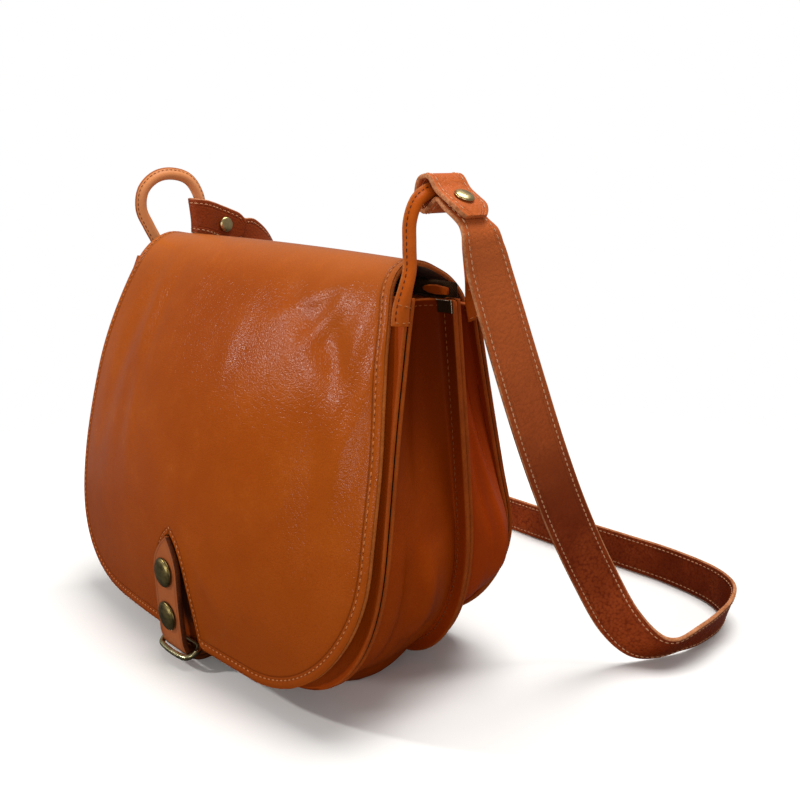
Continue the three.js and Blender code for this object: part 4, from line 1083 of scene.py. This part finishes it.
def make_body():
    plain = dict(wall=WALL, finish=INNER_LEATHER)
    make_panel("front_panel_sheet", OUTLINES["front"], front_panel_depth, columns=70, count=80, **plain)
    flat_divider = lambda x, z, half: seam_y["middle"](z)
    hidden = dict(OUTLINES["middle"], widest=114.8, top=113.3, low_z=2.1, high_z=186)
    plain = dict(plain, wall=DIVIDER_WALL)
    make_panel("divider_sheet", hidden, flat_divider, columns=40, count=60, **plain)
    sewn = dict(wall=WALL, finish=SEWN_LEATHER, flip=True)
    make_panel("back_panel_sheet", OUTLINES["back"], back_panel_depth, columns=100, count=110, **sewn)
    back_offset = -PANEL_OFFSET - GAP / 2
    gussets = {
        "front_gusset": dict(
            first=("front", PANEL_OFFSET), second=("middle", -DIVIDER_OFFSET), side="front",
            count=261, walls=44, lips=5, short=0.0,
        ),
        "rear_gusset": dict(
            first=("middle", DIVIDER_OFFSET), second=("back", back_offset), side="rear",
            count=241, walls=34, lips=5, short=0.2,
        ),
    }
    for name, shape in gussets.items():
        face = make_gusset(name, shape)
        seam = line_across(face.swapaxes(0, 1), SEWING["lip"]["inset"], name == "front_gusset")
        tops = [line_across(face, SEWING["top"]["inset"], end)[6:-6] for end in (False, True)]
        sew(name + "_stitches", [seam[2:-2]], "lip", BROWN_THREAD, name)
        sew(name + "_top_stitches", tops, "top", BROWN_THREAD, name)
        if name == "front_gusset":
            make_zip_end(face)


# Closure tab, studs and buckle

def round_strip(half, wall, across=9):
    """Section of a leather strip with rounded edges: ring of points, and which of its faces are cut edge."""
    bend = wall / 2
    flat = np.linspace(-1, 1, across)
    arc = np.radians([60, 30, 0, -30, -60])
    top = np.stack([flat * (half - bend * 0.6), np.full(across, bend)], axis=1)
    right = np.stack([half - bend * 0.6 + np.cos(arc) * bend * 0.6, np.sin(arc) * bend], axis=1)
    ring = np.concatenate([top, right, -top, -right])
    kinds = np.concatenate([np.zeros(across - 1), np.ones(6), np.zeros(across - 1), np.ones(6)])
    return ring, kinds


def strip_sections(half, wall, across=9):
    """Sections of a strip of changing width: rings, which faces are cut edge, and distance from it."""
    rings, kinds = zip(*(round_strip(h, wall, across) for h in half))
    rings = np.array(rings)
    return rings, kinds[0], half[:, None] - abs(rings[..., 0])


def soft_block(width, height, count, power):
    """Section of a bar with rounded corners: ring of points."""
    turn = np.linspace(0, 2 * math.pi, count, endpoint=False)
    ring = np.stack([np.cos(turn), np.sin(turn)], axis=1)
    return np.sign(ring) * abs(ring) ** power * np.array([width, height]) / 2


def make_tab():
    points = line_of(0.0, TAB_LINE["y"], TAB_LINE["z"])
    line, _ = rope(points, np.linspace(0, len(points) - 1, 400))
    line = along(line, np.linspace(0, 1, 150) ** 1.25)
    run = unit(np.gradient(line, axis=0))
    wide = np.array([1.0, 0, 0])
    deep = unit(np.cross(wide, run))
    tip = TAB_LINE["z"][0]
    at = lengths(line) / lengths(line)[-1]
    rise = np.clip((tip - line[:, 2]) / (tip - TAB["shoulder_z"]), 0.004, 1)
    half = np.where(at > 0.5, TAB["half"], 0.9 + (TAB["half"] - 0.9) * np.sin(rise * math.pi / 2) ** 0.9)
    sections, kinds, edges = strip_sections(half, TAB["wall"])
    piece = sweep("closure_tab_strip", line, wide, deep, sections, [TAB_LEATHER, DARK_EDGE], kinds, edges)
    dress(piece, "closure_tab")


tab_top = {name: TAB_LINE[name][:6][::-1] for name in ("y", "z")}
tab_by_height = smooth(tab_top, "z", "y")


def make_studs():
    cap, height = STUD["cap_radius"], STUD["cap_height"]
    post, depth = STUD["post_radius"], STUD["post_length"]
    profile = [(cap * out, height * up) for out, up in STUD_PROFILE]
    profile += [(cap * 0.99, 0.05), (cap * 0.95, 0.0), (post, 0.0), (post, -depth), (0, -depth)]
    for name, z in STUD_Z.items():
        slope = (tab_by_height(z + 5) - tab_by_height(z - 5)) / 10
        axis = unit(np.array([0.0, -1.0, slope]))
        centre = np.array([0.0, tab_by_height(z) - TAB["wall"] / 2 - GAP - 0.2, z])
        dress(lathe(name + "_cap", profile, axis, centre, STUD_BRASS), name)


def make_buckle():
    b = BUCKLE
    bar = b["bar"] / 2
    half_w, half_d, corner = b["half_width"] - bar, b["half_depth"] - bar, b["corner"] - bar
    loop = []
    for sx, sy, start in ((1, -1, -90), (1, 1, 0), (-1, 1, 90), (-1, -1, 180)):
        middle = np.array([sx * (half_w - corner), sy * (half_d - corner)])
        for turn in np.radians(np.linspace(start, start + 90, 9)):
            loop.append(middle + corner * np.array([math.cos(turn), math.sin(turn)]))
    loop = np.array(loop + loop[:1])
    loop = along(loop, np.linspace(0, 1, 161)[:-1])
    bow = b["bow"] * np.maximum(0, 1 - (loop[:, 0] / half_w) ** 2)
    loop[:, 1] = loop[:, 1] - np.where(loop[:, 1] < 0, bow, 0)
    tilt = math.radians(BUCKLE_SEAT["tilt"])
    flat_x, flat_y = np.array([1.0, 0, 0]), np.array([0, math.cos(tilt), math.sin(tilt)])
    up = np.cross(flat_x, flat_y)
    centre = np.array([0, BUCKLE_SEAT["y"], BUCKLE_SEAT["z"]])
    line = centre + loop[:, :1] * flat_x + loop[:, 1:] * flat_y
    run = unit(np.roll(line, -1, axis=0) - np.roll(line, 1, axis=0))
    wide = np.cross(run, up)
    section = soft_block(b["bar"], b["thick"], 20, 0.7)
    piece = sweep("buckle_frame", line, wide, up, section, [BUCKLE_BRASS], ring=True)
    dress(piece, "buckle")


# Loops, strap, rivets and zip

def make_loop(name):
    table = LOOP_ROWS[name]
    points = np.stack([table[k] for k in "xyz"], axis=1)
    number = dict(table, row=np.arange(len(points), dtype=float))
    params = np.linspace(0, len(points) - 1, 190)
    half = smooth(number, "row", "half")(params)
    thick = smooth(number, "row", "thick")(params)
    line, run = rope(points, params)
    across = np.array([1.0, 0, 0])
    deep = unit(across - run * run[:, :1])
    wide = unit(np.cross(deep, run))
    rolled = smoothstep(thick, 1.2, LOOP["tube"])
    turn = np.linspace(0, 2 * math.pi, 32, endpoint=False)
    fin = np.exp(-((np.minimum(turn, 2 * math.pi - turn) / 0.3) ** 2))
    sections = np.stack([
        np.cos(turn) * half[:, None] + fin * (rolled * (LOOP["flange"] - LOOP["tube"]))[:, None],
        np.sin(turn) * thick[:, None],
    ], axis=-1)
    kinds = (np.minimum(turn, 2 * math.pi - turn) < 0.15).astype(int)
    edges = np.full(sections.shape[:2], FAR_FROM_EDGE)
    piece = sweep(name + "_roll", line, wide, deep, sections, [LOOP_FINISH[name], RAW_EDGE], kinds, edges)
    dress(piece, name)
    reach = half + rolled * (LOOP["flange"] - LOOP["tube"]) - SEWING["loop"]["inset"] - 0.4
    depth = np.minimum(thick, 0.9) + 0.1
    seams = [(line + wide * reach[:, None] + deep * (hand * depth)[:, None])[6:-6] for hand in (1, -1)]
    outer = np.sign(points[-1, 0])
    width = np.linspace(-0.75, 0.75, 12)[:, None]
    ends = [
        line[k] + wide[k] * half[k] * width + deep[k] * outer * (thick[k] * np.sqrt(1 - width**2) + 0.1)
        for k in (3, 16, len(line) - 3, len(line) - 22)
    ]
    sew(name + "_stitches", seams, "loop", LOOP_THREAD[name], name)
    sew(name + "_end_stitches", ends, "loop", TAN_THREAD, name)


def strap_stations(per_row):
    table = STRAP_ROWS
    points = np.stack([table[k] for k in "xyz"], axis=1)
    heading, climb = np.radians(table["turn"]), np.radians(table["rise"])
    widths = np.stack([
        np.cos(climb) * np.cos(heading), np.cos(climb) * np.sin(heading), np.sin(climb),
    ], axis=1)
    params = np.linspace(0, len(points) - 1, (len(points) - 1) * per_row + 1)
    line, run = rope(points, params)
    k = np.clip(np.floor(params).astype(int), 0, len(points) - 2)
    share = (params - k)[:, None]
    wide = soften(widths[k] * (1 - share) + widths[k + 1] * share, per_row * 0.7)
    wide = unit(wide - run * np.sum(wide * run, axis=1, keepdims=True))
    deep = np.cross(run, wide)
    from_tip = np.minimum(np.linalg.norm(line - line[0], axis=1), np.linalg.norm(line - line[-1], axis=1))
    taper = np.minimum(1, 0.2 + from_tip / STRAP["half"])
    from_end = np.minimum(params, params[-1] - params) - STRAP["fold_rows"]
    free = smoothstep(from_end, 0, STRAP["ease_rows"])
    full = STRAP["fold_half"] + (STRAP["half"] - STRAP["fold_half"]) * free
    half = full * np.sqrt(1 - (1 - taper) ** 2)
    lowest = line[:, 2] - abs(wide[:, 2]) * half - abs(deep[:, 2]) * STRAP["wall"] / 2
    sunk = np.maximum(0, GAP - lowest)
    sunk = np.max([np.roll(sunk, step) for step in range(-per_row, per_row + 1)], axis=0)
    line[:, 2] += soften(sunk, per_row * 0.4)
    return line, wide, deep, half


def make_strap():
    line, wide, deep, half = strap_stations(10)
    sections, kinds, edges = strip_sections(half, STRAP["wall"], 15)
    piece = sweep("strap_band", line, wide, deep, sections, [STRAP_LEATHER, STRAP_EDGE], kinds, edges)
    dress(piece, "shoulder_strap")
    reach = (half - SEWING["strap"]["inset"])[:, None]
    lift = STRAP["wall"] / 2 + 0.02
    lines = [
        (line + wide * reach * hand + deep * lift * face)[8:-8] for hand in (1, -1) for face in (1, -1)
    ]
    sew("strap_stitches", lines, "strap", PEACH_THREAD, "shoulder_strap")


def make_rivets():
    cap, tall = RIVET["cap_radius"], RIVET["cap_height"]
    for name, (outer, inner) in RIVET_ROWS.items():
        a, b = (np.array([STRAP_ROWS[k][row] for k in "xyz"]) for row in (outer, inner))
        seat = np.linalg.norm(a - b) / 2 + STRAP["wall"] / 2 + GAP * 1.5
        half = [(cap * out, seat + tall * up) for out, up in RIVET_PROFILE]
        half += [(cap, seat + 0.25), (cap * 0.98, seat + 0.04), (cap * 0.92, seat), (RIVET["post"], seat)]
        profile = half + [(r, -y) for r, y in reversed(half)]
        dress(lathe(name + "_head", profile, a - b, (a + b) / 2, RIVET_BRASS, 40), name)


def make_zip():
    high = OUTLINES["middle"]["high_z"]
    y = float(seam_y["middle"](high))
    x = np.linspace(ZIP["left_x"], ZIP["right_x"], 60)
    line = line_of(x, y, high + GAP + ZIP["height"] / 2)
    ring = soft_block(ZIP["width"], ZIP["height"], 28, 0.45)
    piece = sweep("zip_tape_fold", line, (0, 1.0, 0), (0, 0, 1.0), ring, [ZIP_TAPE])
    dress(piece, "zip_tape")
    x = np.linspace(PULL_SHAPE["x"][-1], PULL_SHAPE["x"][0], 40)
    half = np.interp(x, PULL_SHAPE["x"], PULL_SHAPE["half"])
    front = y - ZIP["width"] / 2 - GAP - PULL["wall"] / 2
    line = line_of(x, front, high + PULL["above_seam"])
    sections, kinds, _ = strip_sections(half, PULL["wall"])
    finishes = [INNER_LEATHER, LIP_EDGE]
    piece = sweep("zip_pull_tab", line, (0, 0, 1.0), (0, 1.0, 0), sections, finishes, kinds)
    dress(piece, "zip_pull")


make_flap()
make_body()
make_tab()
make_studs()
make_buckle()
for loop_name in LOOP_ROWS:
    make_loop(loop_name)
make_strap()
make_rivets()
make_zip()


# Camera at the photograph's place, floor and light

CAMERA = {"x": 433.6, "y": -303.2, "z": 249.7, "pan": 48.59, "tilt": 13.46, "roll": -0.21, "lens": 47.31}


def make_camera():
    pan, tilt, roll = (math.radians(CAMERA[k]) for k in ("pan", "tilt", "roll"))
    ahead = np.array([-math.sin(pan) * math.cos(tilt), math.cos(pan) * math.cos(tilt), -math.sin(tilt)])
    right = np.array([math.cos(pan), math.sin(pan), 0])
    down = np.cross(ahead, right)
    right, down = (
        math.cos(roll) * right + math.sin(roll) * down, -math.sin(roll) * right + math.cos(roll) * down,
    )
    place = np.array([CAMERA[k] for k in "xyz"]) * MM
    lens = bpy.data.cameras.new("photo_camera")
    lens.lens = CAMERA["lens"]
    lens.sensor_width = 36.0
    lens.clip_start = 0.01
    bpy.context.scene.camera = stand("photo_camera", lens, right, -down, -ahead, place)


# Soft boxes: where each stands, what it points at, its size and power
LIGHTS = {
    "key_left": dict(spot=(-0.9, -1.05, 0.87), aim=(0, 0, 0.15), size=0.12, watts=10.5),
    "front": dict(spot=(-0.1, -1.69, 0.4), aim=(0.1, 0, 0.12), size=0.14, watts=7.5),
    "front_right": dict(spot=(1.45, -0.95, 0.4), aim=(0.1, 0, 0.1), size=0.9, watts=6.5),
    "top": dict(spot=(0.25, 0.4, 2.1), aim=(0, 0, 0.0), size=1.3, watts=46),
}
SKY = 0.25
FLOOR = {"x": 0.03, "y": 0.06, "near": 0.34, "far": 0.52, "bounce": 0.34, "mirrored": 0.06}


def make_floor():
    f = Finish("white_floor")
    paper = f.mix(f.noise(60.0, 2.0), (0.95, 0.935, 0.905, 1), (0.965, 0.95, 0.92, 1))
    seen, mirrored = (f.node("ShaderNodeLightPath", out=ray) for ray in ("Is Camera Ray", "Is Glossy Ray"))
    bounce = f.mix(mirrored, (*[FLOOR["bounce"]] * 3, 1), (*[FLOOR["mirrored"]] * 3, 1))
    middle = (FLOOR["x"], FLOOR["y"], 0.0)
    from_bag = f.node("ShaderNodeVectorMath", {"operation": "DISTANCE"}, {0: f.place, 1: middle}, "Value")
    f.shade(
        base_color=f.mix(seen, bounce, paper), roughness=0.9,
        alpha=1.0 - f.step(from_bag, FLOOR["near"], FLOOR["far"]),
    )
    reach = 1250.0
    corners = [(-reach, -reach, 0), (reach, -reach, 0), (reach, reach, 0), (-reach, reach, 0)]
    floor = make_object("floor", corners, [[0, 1, 2, 3]], [f.material])


def make_lights():
    for name, light in LIGHTS.items():
        lamp = bpy.data.lights.new(name, "AREA")
        lamp.shape = "SQUARE"
        lamp.size = light["size"]
        lamp.energy = light["watts"]
        spot = np.array(light["spot"])
        back = unit(spot - np.array(light["aim"]))
        side = unit(np.cross([0, 0, 1.0], back)) if abs(back[2]) < 0.98 else np.array([1.0, 0, 0])
        stand(name, lamp, side, np.cross(back, side), back, spot)


def make_backdrop():
    """White for the camera, and a dim sky for light."""
    world = bpy.data.worlds.new("white_studio")
    bpy.context.scene.world = world
    world.use_nodes = True
    n = Nodes(world.node_tree)
    room = n.tree.nodes["Background"]
    white = (1.0, 1.0, 1.0, 1.0)
    room.inputs["Color"].default_value = white
    room.inputs["Strength"].default_value = SKY
    backdrop = n.node("ShaderNodeBackground", None, {"Color": white, "Strength": 1.0})
    seen = n.node("ShaderNodeLightPath", out="Is Camera Ray")
    both = n.node("ShaderNodeMixShader", None, {0: seen, 1: Wire(n, room.outputs[0]), 2: backdrop})
    n.put(n.tree.nodes["World Output"].inputs["Surface"], both)
    bpy.context.scene.view_settings.view_transform = "Standard"


make_camera()
make_floor()
make_lights()
make_backdrop()
